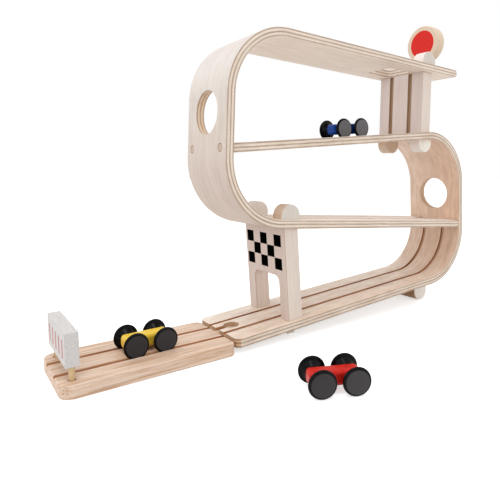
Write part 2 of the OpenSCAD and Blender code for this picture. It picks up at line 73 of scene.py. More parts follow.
# Floor and light
# A wide sheet of white paper under soft light: large weak lamps on the left, above and behind,
# a small one in front, and even white light all round that keeps the shadows thin.
white = "#ffffff"
fill_level = 0.80
paper_shade = (0.80, 0.80, 0.80, 1)
paper_glow = 0.58
paper_reach = 6.0
paper_drop = 0.0002


# from a colour code to linear light, by the usual curve of screens
def srgb(code):
    parts = [int(code[i:i + 2], 16)/255 for i in (1, 3, 5)]
    return tuple(p/12.92 if p <= 0.04045 else ((p + 0.055)/1.055)**2.4 for p in parts) + (1,)


# sets the inputs of a node: a socket is joined on, and a number or a colour code is set
def feed(tree, node, inputs):
    for name, value in inputs.items():
        if isinstance(value, bpy.types.NodeSocket):
            tree.links.new(value, node.inputs[name])
        else:
            node.inputs[name].default_value = srgb(value) if isinstance(value, str) else value


def add_node(tree, kind, inputs=None, **settings):
    made = tree.nodes.new("ShaderNode" + kind)
    for name, value in settings.items():
        setattr(made, name, value)
    feed(tree, made, inputs or {})
    return made


def calc(tree, operation, *values):
    return add_node(tree, "Math", dict(enumerate(values)), operation=operation).outputs[0]


def seen_directly(tree):
    path = add_node(tree, "LightPath").outputs
    shiny = calc(tree, "MAXIMUM", path["Is Glossy Ray"], path["Is Transmission Ray"])
    return calc(tree, "MAXIMUM", path["Is Camera Ray"], shiny)


world = bpy.data.worlds.new("white_room")
world.use_nodes = True
scene.world = world
room = world.node_tree
room.nodes.clear()
fill = add_node(room, "Background", {"Color": white, "Strength": fill_level})
backdrop = add_node(room, "Background", {"Color": white, "Strength": 1.0})
choice = add_node(room, "MixShader",
                  {0: seen_directly(room), 1: fill.outputs[0], 2: backdrop.outputs[0]})
add_node(room, "OutputWorld", {"Surface": choice.outputs[0]})

paper_mesh = bpy.data.meshes.new("paper_floor")
paper_corners = [(x*paper_reach, y*paper_reach, -paper_drop)
                 for x, y in ((-1, -1), (1, -1), (1, 1), (-1, 1))]
paper_mesh.from_pydata(paper_corners, [], [(0, 1, 2, 3)])
paper = bpy.data.objects.new("paper_floor", paper_mesh)
scene.collection.objects.link(paper)

paper_white = bpy.data.materials.new("paper_white")
paper_white.use_nodes = True
sheet_tree = paper_white.node_tree
sheet_tree.nodes.clear()
lit = add_node(sheet_tree, "BsdfDiffuse", {"Color": paper_shade})
glow_level = calc(sheet_tree, "MULTIPLY", seen_directly(sheet_tree), paper_glow)
glow = add_node(sheet_tree, "Emission", {"Color": white, "Strength": glow_level})
paper_look = add_node(sheet_tree, "AddShader", {0: lit.outputs[0], 1: glow.outputs[0]})
add_node(sheet_tree, "OutputMaterial", {"Surface": paper_look.outputs[0]})
paper_mesh.materials.append(paper_white)


def soft_lamp(name, at, towards, size, watts):
    lamp = bpy.data.lights.new(name, "AREA")
    lamp.shape = "SQUARE"
    lamp.size = size
    lamp.energy = watts
    holder = bpy.data.objects.new(name, lamp)
    holder.location = at
    holder.rotation_euler = (Vector(towards) - Vector(at)).to_track_quat("-Z", "Y").to_euler()
    scene.collection.objects.link(holder)


lit_middle = (0.15, -0.05, 0.2)
soft_lamp("left_softbox", (-1.5, -0.9, 1.1), lit_middle, 1.4, 5)
soft_lamp("top_softbox", (-0.2, -0.2, 2.3), lit_middle, 0.9, 13)
soft_lamp("back_softbox", (-0.8, 1.4, 0.9), lit_middle, 1.4, 4)
soft_lamp("front_lamp", (0.9, -1.35, 0.75), lit_middle, 0.25, 2)


# Bent plywood bands
# Each band is one strip of birch plywood, pressed into a C over a mould while the glue
# between its layers set. Hand holes, drop openings and wheel grooves are routed into it
# afterwards, and all its edges are eased with sandpaper. Sizes are in millimetres.
mm = 0.001
ply = 11
width = 94
half = width/2
band_h = 237
bend_r = 84
bend_steps = 36
nose_steps = 14
ease_steps = 4
lean_left = radians(2.9)
lean_right = radians(3)
slope_1, slope_2, slope_3, slope_4 = (radians(fall) for fall in (2.8, 3.6, 4.3, 3.6))
left_z = 147.3
right_x = 460.5
right_z = 34.4
deck_1_end = 430
base_end = 16.5
hand_hole_r = 26
hand_hole_v = 134
groove_y = 17.5
groove_w = 5.4
groove_d = 3.2
groove_start = 1
drop_w = 44
drop_len = 52
drop_r = 6
ease = 0.6
rim_ease = 0.6
groove_ease = 0.45
least_r = 0.02
past = 0.4
glue_gap = 0.06


# from a leaning plane, off it and up it, to the track's x and z
def leaning(foot_x, foot_z, lean, off, up):
    return foot_x + off*cos(lean) + up*sin(lean), foot_z - off*sin(lean) + up*cos(lean)


# from a band's own plane, u off its wall and v up it, to the track's x and z
def on_left(u, v):
    return leaning(0, left_z, lean_left, u, v)


def on_right(u, v):
    inward, z = leaning(0, right_z, lean_right, u, v)
    return right_x - inward, z


deck_rise = (-tan(slope_1), tan(slope_2), -tan(slope_3), tan(slope_4))
deck_lift = (0, 0, ply/cos(slope_3), ply/cos(slope_4))
deck_from = (on_left(0, band_h), on_right(0, band_h), on_left(0, 0), on_right(0, 0))


def deck_top(deck, x):
    start = deck_from[deck - 1]
    return start[1] + deck_lift[deck - 1] + deck_rise[deck - 1]*(x - start[0])


def deck_under(deck, x):
    return deck_top(deck, x) - ply*sqrt(1 + deck_rise[deck - 1]**2)


# from a point on a deck, square to its slope and along it, to the track's x and z
def deck_place(deck, x):
    slope = np.arctan(deck_rise[deck - 1])

    def place(off, along):
        return (x + along*cos(slope) - off*sin(slope),
                deck_top(deck, x) + along*sin(slope) + off*cos(slope))
    return place


def left_face(z):
    return ply/cos(lean_left) + (z - left_z)*tan(lean_left)


def right_face(z):
    return right_x - ply/cos(lean_right) - (z - right_z)*tan(lean_right)


board_t = 22
panel_back = 67.5
panel_lean = radians(1.8)
panel_x = deck_1_end - panel_back
panel_top_x = panel_x + (deck_under(1, panel_x) - deck_top(2, panel_x))*tan(panel_lean)
panel_reach = board_t/cos(panel_lean)/2
drop_1 = panel_top_x - panel_reach
end_2 = left_face(deck_top(2, ply) - ply/2)
end_3 = right_face(deck_top(3, right_x - 2*ply) - ply/2)


def arc(centre, radius, start, stop, steps):
    turns = np.linspace(start, stop, steps + 1)
    return [(centre[0] + radius*cos(turn), centre[1] + radius*sin(turn)) for turn in turns]


def circle(radius, steps):
    turns = np.linspace(0, 2*pi, steps, endpoint=False)
    return [(radius*cos(turn), radius*sin(turn)) for turn in turns]


# quarter round of a sanded edge: distance from the side face, and how far the outline draws in
def easing(radius, steps=ease_steps, first=0):
    turns = np.linspace(first, pi/2, steps + 1)
    return [(radius*(1 - cos(turn)), radius*(1 - sin(turn))) for turn in turns]


# the outlines that round both ends of a length: where each stands, and how far it draws in
def rounded_ends(start, stop, radius, steps=ease_steps):
    edge = easing(radius, steps)
    return ([(start + depth, drawn_in) for depth, drawn_in in edge]
            + [(stop - depth, drawn_in) for depth, drawn_in in reversed(edge)])


# the same round at the mouth of a cut, opened a little so that the cutter leaves the face cleanly
def mouth(radius, steps=3, first=radians(15)):
    rounded = easing(radius, steps, first)
    depth, spread = rounded[0]
    return [(-past, spread + (past + depth)/tan(first))] + rounded


def both_mouths(through, radius):
    near = mouth(radius)
    return near + [(through - depth, spread) for depth, spread in reversed(near)]


# a closed skin through rings of points in millimetres
def loft(name, rings, cap_faces=None):
    skin = bmesh.new()
    rows = [[skin.verts.new(Vector(point)*mm) for point in ring] for ring in rings]
    count = len(rows[0])
    for lower, upper in zip(rows, rows[1:]):
        for i in range(count):
            j = (i + 1) % count
            skin.faces.new((lower[i], lower[j], upper[j], upper[i]))
    for row in (rows[0], rows[-1]):
        for face in cap_faces or [range(count)]:
            skin.faces.new([row[i] for i in face])
    bmesh.ops.recalc_face_normals(skin, faces=skin.faces)
    if skin.calc_volume(signed=True) < 0:
        bmesh.ops.reverse_faces(skin, faces=skin.faces)
    mesh = bpy.data.meshes.new(name)
    skin.to_mesh(mesh)
    skin.free()
    piece = bpy.data.objects.new(name, mesh)
    scene.collection.objects.link(piece)
    return piece


# takes the cutters out of a piece and throws them away
def cut(piece, *cutters):
    for cutter in cutters:
        step = piece.modifiers.new("cut", "BOOLEAN")
        step.operation = "DIFFERENCE"
        step.solver = "MANIFOLD"
        step.object = cutter
    graph = bpy.context.evaluated_depsgraph_get()
    cut_mesh = bpy.data.meshes.new_from_object(piece.evaluated_get(graph))
    cut_mesh.name = piece.name
    cut_mesh.materials.clear()
    piece.modifiers.clear()
    piece.data = cut_mesh
    for cutter in cutters:
        bpy.data.objects.remove(cutter)


def smooth(piece, sharp=radians(36)):
    mesh = piece.data
    mesh.polygons.foreach_set("use_smooth", np.ones(len(mesh.polygons), dtype=bool))
    mesh.set_sharp_from_angle(angle=sharp)
    step = piece.modifiers.new("even_normals", "WEIGHTED_NORMAL")
    step.keep_sharp = True


def points_of(piece):
    flat = np.empty(len(piece.data.vertices)*3)
    piece.data.vertices.foreach_get("co", flat)
    return flat.reshape(-1, 3)/mm


# keeps a place in the wood at every point: along the grain, across it and through the layers
def keep_grain(piece, along, across, through):
    places = np.stack([along, across, through], axis=1).astype(np.float32)
    kept = piece.data.attributes.new("grain", "FLOAT_VECTOR", "POINT")
    kept.data.foreach_set("vector", places.ravel())


class Band:
    def __init__(self, name, place, turns, ends, corner):
        self.name = name
        self.place = place
        self.turns = turns
        self.runs = [0, 0]
        self.ends = ends
        self.corner = corner
        self.top = (bend_r, band_h + bend_r*tan(turns[0]) - bend_r/cos(turns[0]))
        self.low = (bend_r, bend_r*tan(turns[1]) + bend_r/cos(turns[1]))

    # a point on the upper (0) or lower (1) deck, past its bend and inside the outer face
    def along(self, deck, run, inset):
        turn = self.turns[deck]
        centre = (self.top, self.low)[deck]
        out = (1, -1)[deck]*(bend_r - inset)
        return centre[0] - out*sin(turn) + run*cos(turn), centre[1] + out*cos(turn) + run*sin(turn)

    # one face from the upper deck's end, round the wall, to the lower deck's end
    def face(self, inset):
        upper, lower = self.turns
        radius = bend_r - inset
        return ([self.along(0, self.face_run(0, inset), inset)]
                + arc(self.top, radius, pi/2 + upper, pi, bend_steps)
                + arc(self.low, radius, pi, 3*pi/2 + lower, bend_steps)
                + [self.along(1, self.face_run(1, inset), inset)])

    def face_run(self, deck, inset):
        kind = self.ends[deck]
        if kind == "square":
            return self.runs[deck] - ease
        if kind == "butt":
            return self.runs[deck](inset)
        return self.runs[deck]

    # the points between the two faces at a deck's end, from its lower face to its upper face
    def end(self, deck, drawn_in):
        turn = self.turns[deck]
        if self.ends[deck] == "nose":
            middle = self.along(deck, self.runs[deck], ply/2)
            return arc(middle, ply/2 - drawn_in, turn - pi/2, turn + pi/2, nose_steps)[1:-1]
        if self.ends[deck] == "square":
            run = self.runs[deck] - ease
            insets = (ease, ply - ease) if deck == 1 else (ply - ease, ease)
            first, last = (self.along(deck, run, inset) for inset in insets)
            radius = max(ease - drawn_in, least_r)
            return (arc(first, radius, turn - pi/2, turn, ease_steps)[1:]
                    + arc(last, radius, turn, turn + pi/2, ease_steps)[:-1])
        return []

    def ring(self, drawn_in, y):
        flat = (self.face(drawn_in) + self.end(1, drawn_in)
                + self.face(ply - drawn_in)[::-1] + self.end(0, drawn_in))
        placed = [self.place(u, v) for u, v in flat]
        return [(x, y, z) for x, z in placed]

    # the flat sides are closed by strips across the thickness, and one face at each end
    def side_faces(self):
        count = len(self.face(0))
        low_end = len(self.end(1, 0))
        top_end = len(self.end(0, 0))
        inner = 2*count + low_end - 1
        strips = [[i, i + 1, inner - i - 1, inner - i] for i in range(count - 1)]
        if low_end:
            strips.append(list(range(count - 1, count + low_end + 1)))
        if top_end:
            strips.append(list(range(inner, inner + top_end + 1)) + [0])
        return strips

    def strip_of_wood(self):
        rings = [self.ring(drawn_in, y) for y, drawn_in in rounded_ends(-half, half, ease)]
        return loft(self.name, rings, self.side_faces())

    # length along the strip and depth below its outer face, for points in x and z
    def unroll(self, x, z):
        corner_x, corner_z, mirror, lean = self.corner
        off = (x - corner_x)*mirror
        up = z - corner_z
        u = cos(lean)*off - sin(lean)*up
        v = sin(lean)*off + cos(lean)*up
        middle_r = bend_r - ply/2
        wall = self.top[1] - self.low[1]
        length = v - self.low[1]
        depth = u.copy()
        bends = ((0, self.top, 1, wall, v > self.top[1]), (1, self.low, -1, 0, v < self.low[1]))
        for deck, centre, out, start, past_bend in bends:
            turn = self.turns[deck]
            du = u - centre[0]
            dv = v - centre[1]
            run = du*cos(turn) + dv*sin(turn)
            bent = past_bend & (run <= 0)
            flat = past_bend & (run > 0)
            angle = np.arctan2(out*dv, -du)
            quarter = pi/2 - out*turn
            length = np.where(bent, start + out*middle_r*angle, length)
            depth = np.where(bent, bend_r - np.hypot(du, dv), depth)
            length = np.where(flat, start + out*(middle_r*quarter + run), length)
            depth = np.where(flat, bend_r - out*(dv*cos(turn) - du*sin(turn)), depth)
        return length, depth


# a round cutter through a face; its profile gives depths and how far the bore spreads there
def bore(name, place, radius, y, profile, steps=64):
    rings = []
    for depth, spread in profile:
        ring = []
        for a, b in circle(radius + spread, steps):
            x, z = place(depth, a)
            ring.append((x, y + b, z))
        rings.append(ring)
    return loft(name, rings)


def wall_bore(name, band, v, y, radius, profile):
    return bore(name, lambda depth, rise: band.place(depth, v + rise), radius, y, profile)


def upright_bore(name, x, y, z, radius, profile):
    return bore(name, lambda depth, offset: (x + offset, z + depth), radius, y, profile)


def rounded_box(x0, x1, y0, y1, radius, steps=8):
    return (arc((x1 - radius, y0 + radius), radius, -pi/2, 0, steps)
            + arc((x1 - radius, y1 - radius), radius, 0, pi/2, steps)
            + arc((x0 + radius, y1 - radius), radius, pi/2, pi, steps)
            + arc((x0 + radius, y0 + radius), radius, pi, 3*pi/2, steps))


# an upright cutter through a deck, with both mouths eased
def through_deck(name, deck, outline, radius=rim_ease):
    thick = ply/cos(np.arctan(deck_rise[deck - 1]))
    rings = []
    for depth, spread in both_mouths(thick, radius):
        rings.append([(x, y, deck_top(deck, x) - depth) for x, y in outline(spread)])
    return loft(name, rings)


def drop_opening(name, deck, x0, x1):
    def outline(spread):
        y = drop_w/2 + spread
        return rounded_box(x0 - spread, x1 + spread, -y, y, drop_r + spread)
    return through_deck(name, deck, outline)


# path gives the groove's line in x and z at a depth below the face it is cut into
def groove(name, path, y, wide=groove_w):
    side = mouth(groove_ease) + [(groove_d, 0)]
    lines = [path(depth) for depth, spread in side]
    reach = [wide/2 + spread for depth, spread in side]
    rings = []
    for places in zip(*lines):
        left = [(x, y - out, z) for (x, z), out in zip(places, reach)]
        right = [(x, y + out, z) for (x, z), out in zip(places, reach)]
        rings.append(left + right[::-1])
    return loft(name, rings)


def deck_groove(name, deck, x0, x1, y):
    return groove(name, lambda depth: [(x, deck_top(deck, x) - depth) for x in (x0, x1)], y)


def wall_groove(name, band, from_v, run, y):
    def path(depth):
        inset = ply - depth
        bend = arc(band.low, bend_r - inset, pi, 3*pi/2 + band.turns[1], bend_steps)
        flat = [(inset, from_v)] + bend + [band.along(1, run, inset)]
        return [band.place(u, v) for u, v in flat]
    return groove(name, path, y)


def run_to(start, x, slope):
    return abs(x - start[0])/cos(slope)


upper = Band("upper_band_wood", on_left, (lean_left - slope_1, lean_left - slope_3),
             ("nose", "nose"), (0, left_z, 1, lean_left))
upper.runs[0] = run_to(on_left(*upper.along(0, 0, ply/2)), deck_1_end - ply/2, slope_1)
upper.runs[1] = run_to(on_left(*upper.along(1, 0, ply/2)), end_3 - ply/2, slope_3) - glue_gap
lower = Band("lower_band_wood", on_right, (lean_right - slope_2, lean_right - slope_4),
             ("butt", "square"), (right_x, right_z, -1, lean_right))


# the second deck ends flat against the leaning left wall
def run_to_left_wall(inset):
    near = on_right(*lower.along(0, 0, inset))
    far = on_right(*lower.along(0, 1, inset))
    gap_near = near[0] - left_face(near[1]) - glue_gap
    gap_far = far[0] - left_face(far[1]) - glue_gap
    return gap_near/(gap_near - gap_far)


lower.runs[0] = run_to_left_wall
lower.runs[1] = run_to(on_right(*lower.along(1, 0, ply)), base_end, slope_4)

upper_wood = upper.strip_of_wood()
lower_wood = lower.strip_of_wood()

# hand holes and the openings that a car drops through
hand_mouths = both_mouths(ply, rim_ease)
cut(upper_wood,
    wall_bore("left_hand_cut", upper, hand_hole_v, 0, hand_hole_r, hand_mouths),
    drop_opening("drop_1_cut", 1, drop_1 - drop_len, drop_1),
    drop_opening("drop_3_cut", 3, end_3 - drop_len + ply, end_3 + ply))
cut(lower_wood,
    wall_bore("right_hand_cut", lower, hand_hole_v, 0, hand_hole_r, hand_mouths),
    drop_opening("drop_2_cut", 2, end_2 - ply, end_2 + drop_len))

# holes for the dowel pins, the plugs and the sign's post
pin_r = 4.05
side_y = 34
low_y = 31
gate_x = 106
gate_top_x = gate_x - (deck_under(3, gate_x) - deck_top(4, gate_x))*tan(slope_4)
plug_r = 4.8
plug_head_t = 4.5
plug_shank_r = 2.5
plug_len = 24
plug_y = (half + drop_w/2)/2
left_plug_v = (deck_top(2, end_2) - ply/2 - left_z)/cos(lean_left) + ply*sin(lean_left)
right_plug_v = (deck_top(3, end_3) - ply/2 - right_z)/cos(lean_right) + ply*sin(lean_right)
plug_play = 0.12
plug_flare = 0.5
plug_rim = 0.35
plug_seat = 0.05
plug_tip = 0.1
plug_step = 0.001
shank_play = plug_shank_r - plug_r + plug_play
plug_mouth = [(-past, plug_play + plug_flare), (plug_rim, plug_play), (plug_head_t + plug_seat, plug_play),
              (plug_head_t + plug_seat + plug_step, shank_play), (plug_len + plug_tip, shank_play)]
sign_back = 25
sign_x = deck_1_end - sign_back
sign_t = 17.5
post_x = sign_x + sign_t/2
post_r = 5
post_in_deck = 5.5
bore_play = 0.05


# heights are counted from the top of the deck, square to it
def pin_hole(name, deck, x, y, low, high):
    return bore(name, deck_place(deck, x), pin_r, y, [(low, 0), (high, 0)])


def plug_holes(y):
    return (wall_bore("left_plug_cut", upper, left_plug_v, y, plug_r, plug_mouth),
            wall_bore("right_plug_cut", lower, right_plug_v, y, plug_r, plug_mouth))


for side in (-1, 1):
    cut(upper_wood,
        pin_hole("panel_pin_cut", 1, panel_top_x, side*side_y, -2*ply, ply),
        pin_hole("gate_pin_cut", 3, gate_top_x, side*side_y, -2*ply, ply),
        *plug_holes(side*plug_y))
    cut(lower_wood,
        pin_hole("panel_pin_cut", 2, panel_x, side*low_y, -2*ply, ply),
        pin_hole("gate_pin_cut", 4, gate_x, side*side_y, -2*ply, ply),
        *plug_holes(side*plug_y))
cut(upper_wood, upright_bore("post_cut", post_x, 0, deck_top(1, post_x), post_r + bore_play,
                             [(-post_in_deck, 0), (ply, 0)]))

# the base's keyhole for the tray's tongue, and its two round corners
knob_r = 9.2
neck_w = 8
tongue_reach = 20
knob_x = base_end + tongue_reach
key_gap = 0.6
key_ease = 0.7
corner_r = 9
corner_steps = 12


# neck and knob seen from above, from the neck's lower left end round to its upper left end
def tongue_line(from_x, knob_radius, neck_half, steps=40):
    meet = asin(neck_half/knob_radius)
    knob = arc((knob_x, 0), knob_radius, meet - pi, pi - meet, steps)
    return [(from_x, -neck_half)] + knob + [(from_x, neck_half)]


def keyhole(spread):
    return tongue_line(base_end - ply, knob_r + key_gap + spread, neck_w/2 + key_gap + spread)


def corner_waste(side):
    def outline(spread):
        inner_x, inner_y = base_end + corner_r, half - corner_r
        round_part = arc((inner_x, inner_y), corner_r - spread, pi/2, pi, corner_steps)
        outside = [(base_end - ply, inner_y), (base_end - ply, half + ply), (inner_x, half + ply)]
        return [(x, side*y) for x, y in round_part + outside]
    return outline


cut(lower_wood,
    through_deck("keyhole_cut", 4, keyhole, key_ease),
    through_deck("near_corner_cut", 4, corner_waste(-1), ease),
    through_deck("far_corner_cut", 4, corner_waste(1), ease))

# wheel grooves: along the decks, and from under a deck's end down the wall and round the bend
under_2 = deck_under(2, end_2) - groove_start
under_3 = deck_under(3, end_3) - groove_start
groove_from_left = (under_2 - left_z + sin(lean_left)*ply)/cos(lean_left)
groove_from_right = (under_3 - right_z + sin(lean_right)*ply)/cos(lean_right)
for y in (-groove_y, groove_y):
    cut(upper_wood,
        deck_groove("deck_1_groove", 1, bend_r, drop_1 - drop_len/2, y),
        wall_groove("left_wall_groove", upper, groove_from_left, upper.runs[1] - drop_len/2, y))
    cut(lower_wood,
        deck_groove("deck_2_groove", 2, end_2 + drop_len/2, panel_x - panel_reach, y),
        wall_groove("right_wall_groove", lower, groove_from_right, lower.runs[1] + ply, y))


# a stop's colour is a colour code, a grey level or ready numbers
def ramp(tree, level, stops):
    made = add_node(tree, "ValToRGB", {"Fac": level})
    steps = made.color_ramp.elements
    while len(steps) < len(stops):
        steps.new(0.5)
    for step, (at, colour) in zip(steps, stops):
        step.position = at
        if isinstance(colour, str):
            step.color = srgb(colour)
        else:
            step.color = colour if isinstance(colour, tuple) else (colour, colour, colour, 1)
    return made.outputs["Color"]


# the mixing node has its share on socket 0, and its two colours on sockets 6 and 7
def mix(tree, share, first, second, how="MIX"):
    inputs = {0: share, 6: first, 7: second}
    return add_node(tree, "Mix", inputs, data_type="RGBA", blend_type=how).outputs[2]


def tint(tree, colour, shade, share=1.0):
    return mix(tree, share, colour, shade, "MULTIPLY")


# stretches one range of values to another
def remap(tree, value, source, target=(0, 1)):
    inputs = {"Value": value, "From Min": source[0], "From Max": source[1],
              "To Min": target[0], "To Max": target[1]}
    return add_node(tree, "MapRange", inputs).outputs[0]


def grain_place(tree):
    return add_node(tree, "Attribute", attribute_name="grain", attribute_type="GEOMETRY").outputs["Vector"]


def axes_of(tree, place):
    return add_node(tree, "SeparateXYZ", {0: place}).outputs


def noise(tree, place, scale, detail=4, rough=0.55):
    stretched = add_node(tree, "VectorMath", {0: place, 1: scale}, operation="MULTIPLY").outputs[0]
    inputs = {"Vector": stretched, "Scale": 1.0, "Detail": detail, "Roughness": rough}
    return add_node(tree, "TexNoise", inputs).outputs["Fac"]


def new_finish(name, rough=0.5):
    finish = bpy.data.materials.new(name)
    finish.use_nodes = True
    tree = finish.node_tree
    shader = tree.nodes["Principled BSDF"]
    feed(tree, shader, {"Roughness": rough})
    return finish, tree, shader


# fine fibres along the grain, slow changes of tone, and short dark pores
def wood_tone(tree, place, colour, fibre_depth, pore_depth):
    fibres = noise(tree, place, (0.012, 0.75, 0.75), 5, 0.62)
    shade = ramp(tree, fibres, [(0.30, 1 - fibre_depth), (0.50, 1.0), (0.72, 1 + fibre_depth*0.4)])
    slow = noise(tree, place, (0.006, 0.045, 0.06), 2, 0.5)
    cloud = ramp(tree, slow, [(0.30, (0.955, 0.94, 0.925, 1)), (0.66, (1.02, 1.01, 1.0, 1))])
    toned = tint(tree, tint(tree, colour, shade), cloud)
    dashes = noise(tree, place, (0.055, 2.4, 2.4), 2, 0.5)
    pores = ramp(tree, dashes, [(0.66, 0.0), (0.74, 1.0)])
    dark = tint(tree, toned, (1 - pore_depth, 1 - pore_depth*1.15, 1 - pore_depth*1.3, 1))
    return mix(tree, pores, toned, dark), fibres


def grain_bump(tree, shader, fibres, strength=0.10):
    relief = add_node(tree, "Bump", {"Height": fibres, "Strength": strength, "Distance": 0.0004})
    feed(tree, shader, {"Normal": relief.outputs[0]})


# a slightly uneven polish keeps a broad soft sheen on the wood
def uneven_polish(tree, shader, place, low, high):
    patch = noise(tree, place, (0.02, 0.2, 0.2), 2, 0.5)
    feed(tree, shader, {"Roughness": remap(tree, patch, (0, 1), (low, high))})


# colours at places in millimetres along one way of the sheet
def sheet_tone(tree, place, stops):
    first, last = stops[0][0], stops[-1][0]
    share = remap(tree, place, (first, last))
    return ramp(tree, share, [((at - first)/(last - first), code) for at, code in stops])


veneer_t = 0.5
# tones along each band's outer face: painted shade low down and painted light higher up
outside_light_and_shade = [(-90, "#d4c3b5"), (-20, "#d8c8bf"), (30, "#d8ccc2"), (110, "#e2dbd6"), (170, "#dfd5d0")]
# along the upper band's inner face, the third deck's top is paler as painted light
upper_inside_painted_light = [(-125, "#fbf0e5"), (0, "#f2e1d2"), (190, "#f1e2d2")]
# along the lower band's inner face, the base deck is paler than the bend and the wall as painted light
lower_inside_painted_light = [(-125, "#fdf2e6"), (-60, "#efd9c7"), (30, "#efd6c2"), (190, "#ecd8c8")]
even_across = [(-half, "#ffffff"), (half, "#ffffff")]
# across the lower band's inner face, painted shade towards its near edge
painted_shade_near = [(-half, "#f3e8e1"), (half, "#ffffff")]


# birch plywood: a thin face veneer on each side, whose tone changes over the sheet, partly as
# painted light and shade, and five thick layers between them, brown and cream in turn, that
# show at every cut
def plywood(name, outside, inside, across, figure, cream="#f1e3d4", brown="#b39b87"):
    finish, tree, shader = new_finish(name)
    place = grain_place(tree)
    axes = axes_of(tree, place)
    waver = noise(tree, place, (0.03, 0.05, 0.0), 3, 0.5)
    shift = calc(tree, "MULTIPLY", calc(tree, "SUBTRACT", waver, 0.5), 0.8)
    depth_share = calc(tree, "DIVIDE", calc(tree, "ADD", axes["Z"], shift), ply)
    layers = ramp(tree, depth_share, [
        (0.00, brown), (0.17, brown), (0.22, cream), (0.41, cream), (0.46, brown),
        (0.57, brown), (0.62, cream), (0.80, cream), (0.85, brown), (1.00, brown)])
    patches = noise(tree, place, (0.06, 0.05, 0.35), 3, 0.6)
    worn_share = ramp(tree, patches, [(0.42, 0.0), (0.70, 0.5)])
    layers = mix(tree, worn_share, layers, mix(tree, 0.35, cream, brown))
    fibre_ends = noise(tree, place, (0.55, 0.3, 0.9), 3, 0.65)
    layers = tint(tree, layers, ramp(tree, fibre_ends, [(0.34, 0.84), (0.5, 1.0), (0.7, 1.04)]))
    outer_face = calc(tree, "LESS_THAN", axes["Z"], veneer_t)
    inner_face = calc(tree, "GREATER_THAN", axes["Z"], ply - veneer_t)
    inner_tone = tint(tree, sheet_tone(tree, axes["X"], inside), sheet_tone(tree, axes["Y"], across))
    sheet = mix(tree, outer_face, layers, sheet_tone(tree, axes["X"], outside))
    sheet = mix(tree, inner_face, sheet, inner_tone)
    clouds = noise(tree, place, (0.035, 0.10, 0.10), 4, 0.6)
    cloud_shade = (1 - figure, 1 - 1.35*figure, 1 - 1.7*figure, 1)
    sheet = tint(tree, sheet, ramp(tree, clouds, [(0.36, cloud_shade), (0.62, 1.0)]))
    toned, fibres = wood_tone(tree, place, sheet, 0.19, 0.24)
    feed(tree, shader, {"Base Color": toned})
    uneven_polish(tree, shader, place, 0.42, 0.60)
    grain_bump(tree, shader, fibres)
    return finish


upper_ply = plywood("upper_plywood", outside_light_and_shade, upper_inside_painted_light, even_across, 0.06)
lower_ply = plywood("lower_plywood", outside_light_and_shade, lower_inside_painted_light, painted_shade_near, 0.15)
left_hole_ply = plywood("bored_plywood", outside_light_and_shade, outside_light_and_shade, even_across, 0.08,
                        "#edd9c1", "#b4967a")
# a darker, warmer copy of the plywood, for the right hand hole and the base's end
right_hole_ply = plywood("darker_warm_plywood", outside_light_and_shade, outside_light_and_shade, even_across, 0.12,
                         "#dcb995", "#9a7250")


# a plain finish, whose tones and fine relief come from the same marks
def marked_finish(name, rough, place_of, marks, stops, relief, more=None):
    finish, tree, shader = new_finish(name, rough)
    level = noise(tree, place_of(tree), *marks)
    feed(tree, shader, {"Base Color": ramp(tree, level, stops)})
    feed(tree, shader, more or {})
    grain_bump(tree, shader, level, relief)
    return finish


# the sides of the routed grooves are darker, as painted shade, and their
# bottoms are paler
def groove_wood(name, dark, middle, pale):
    return marked_finish(name, 0.7, grain_place, ((0.016, 0.3, 0.3), 4, 0.6),
                         [(0.25, dark), (0.5, middle), (0.78, pale)], 0.15)


# the darker finish of the groove sides is painted shade
groove_side_shade = groove_wood("groove_side_painted_shade", "#6b4027", "#a66f45", "#c49369")
pale_bottom = groove_wood("groove_bottom", "#c89f7d", "#d8b492", "#e3c5a8")
# a darker finish, painted shade in the keyhole's gap round the tray's tongue
keyhole_painted_shade = groove_wood("keyhole_painted_shade", "#b08c6c", "#c3a183", "#d3b59a")

# the numbers of a grooved piece's finishes, and of the two for a band's holes
on_wood, on_groove_side, on_groove_bottom, on_hole, on_keyhole = range(5)
groove_lip = 0.3
groove_slack = 0.15
neck_margin = 1
knob_margin = 0.4

# shares of a face's normal that tell which way the face looks
hole_turn = 0.7
upright_turn = 0.6
end_turn = 0.35


def groove_part(across, below, wide=groove_w):
    beside = abs(abs(across) - groove_y) > wide/2 + groove_slack
    if beside or not groove_lip < below < groove_d + groove_slack:
        return on_wood
    return on_groove_bottom if below > groove_d - groove_slack else on_groove_side


def lay_finishes(piece, *finishes):
    for finish in finishes:
        piece.data.materials.append(finish)


# part_of tells a face's finish from its place in the wood
def mark_grooves(piece, part_of, side_finish=groove_side_shade, bottom_finish=pale_bottom):
    lay_finishes(piece, side_finish, bottom_finish)
    kept = piece.data.attributes["grain"].data
    for face in piece.data.polygons:
        face.material_index = part_of(np.array([kept[i].vector for i in face.vertices]).mean(axis=0))


# gives one finish to the faces that are chosen by their middle and the way they look
def mark_faces(piece, finish_number, chosen):
    for face in piece.data.polygons:
        if chosen(face.center/mm, face.normal):
            face.material_index = finish_number


# even shading, and the piece's place in the model
def fit(piece, body, node):
    smooth(piece)
    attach(piece, body)
    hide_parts(node)


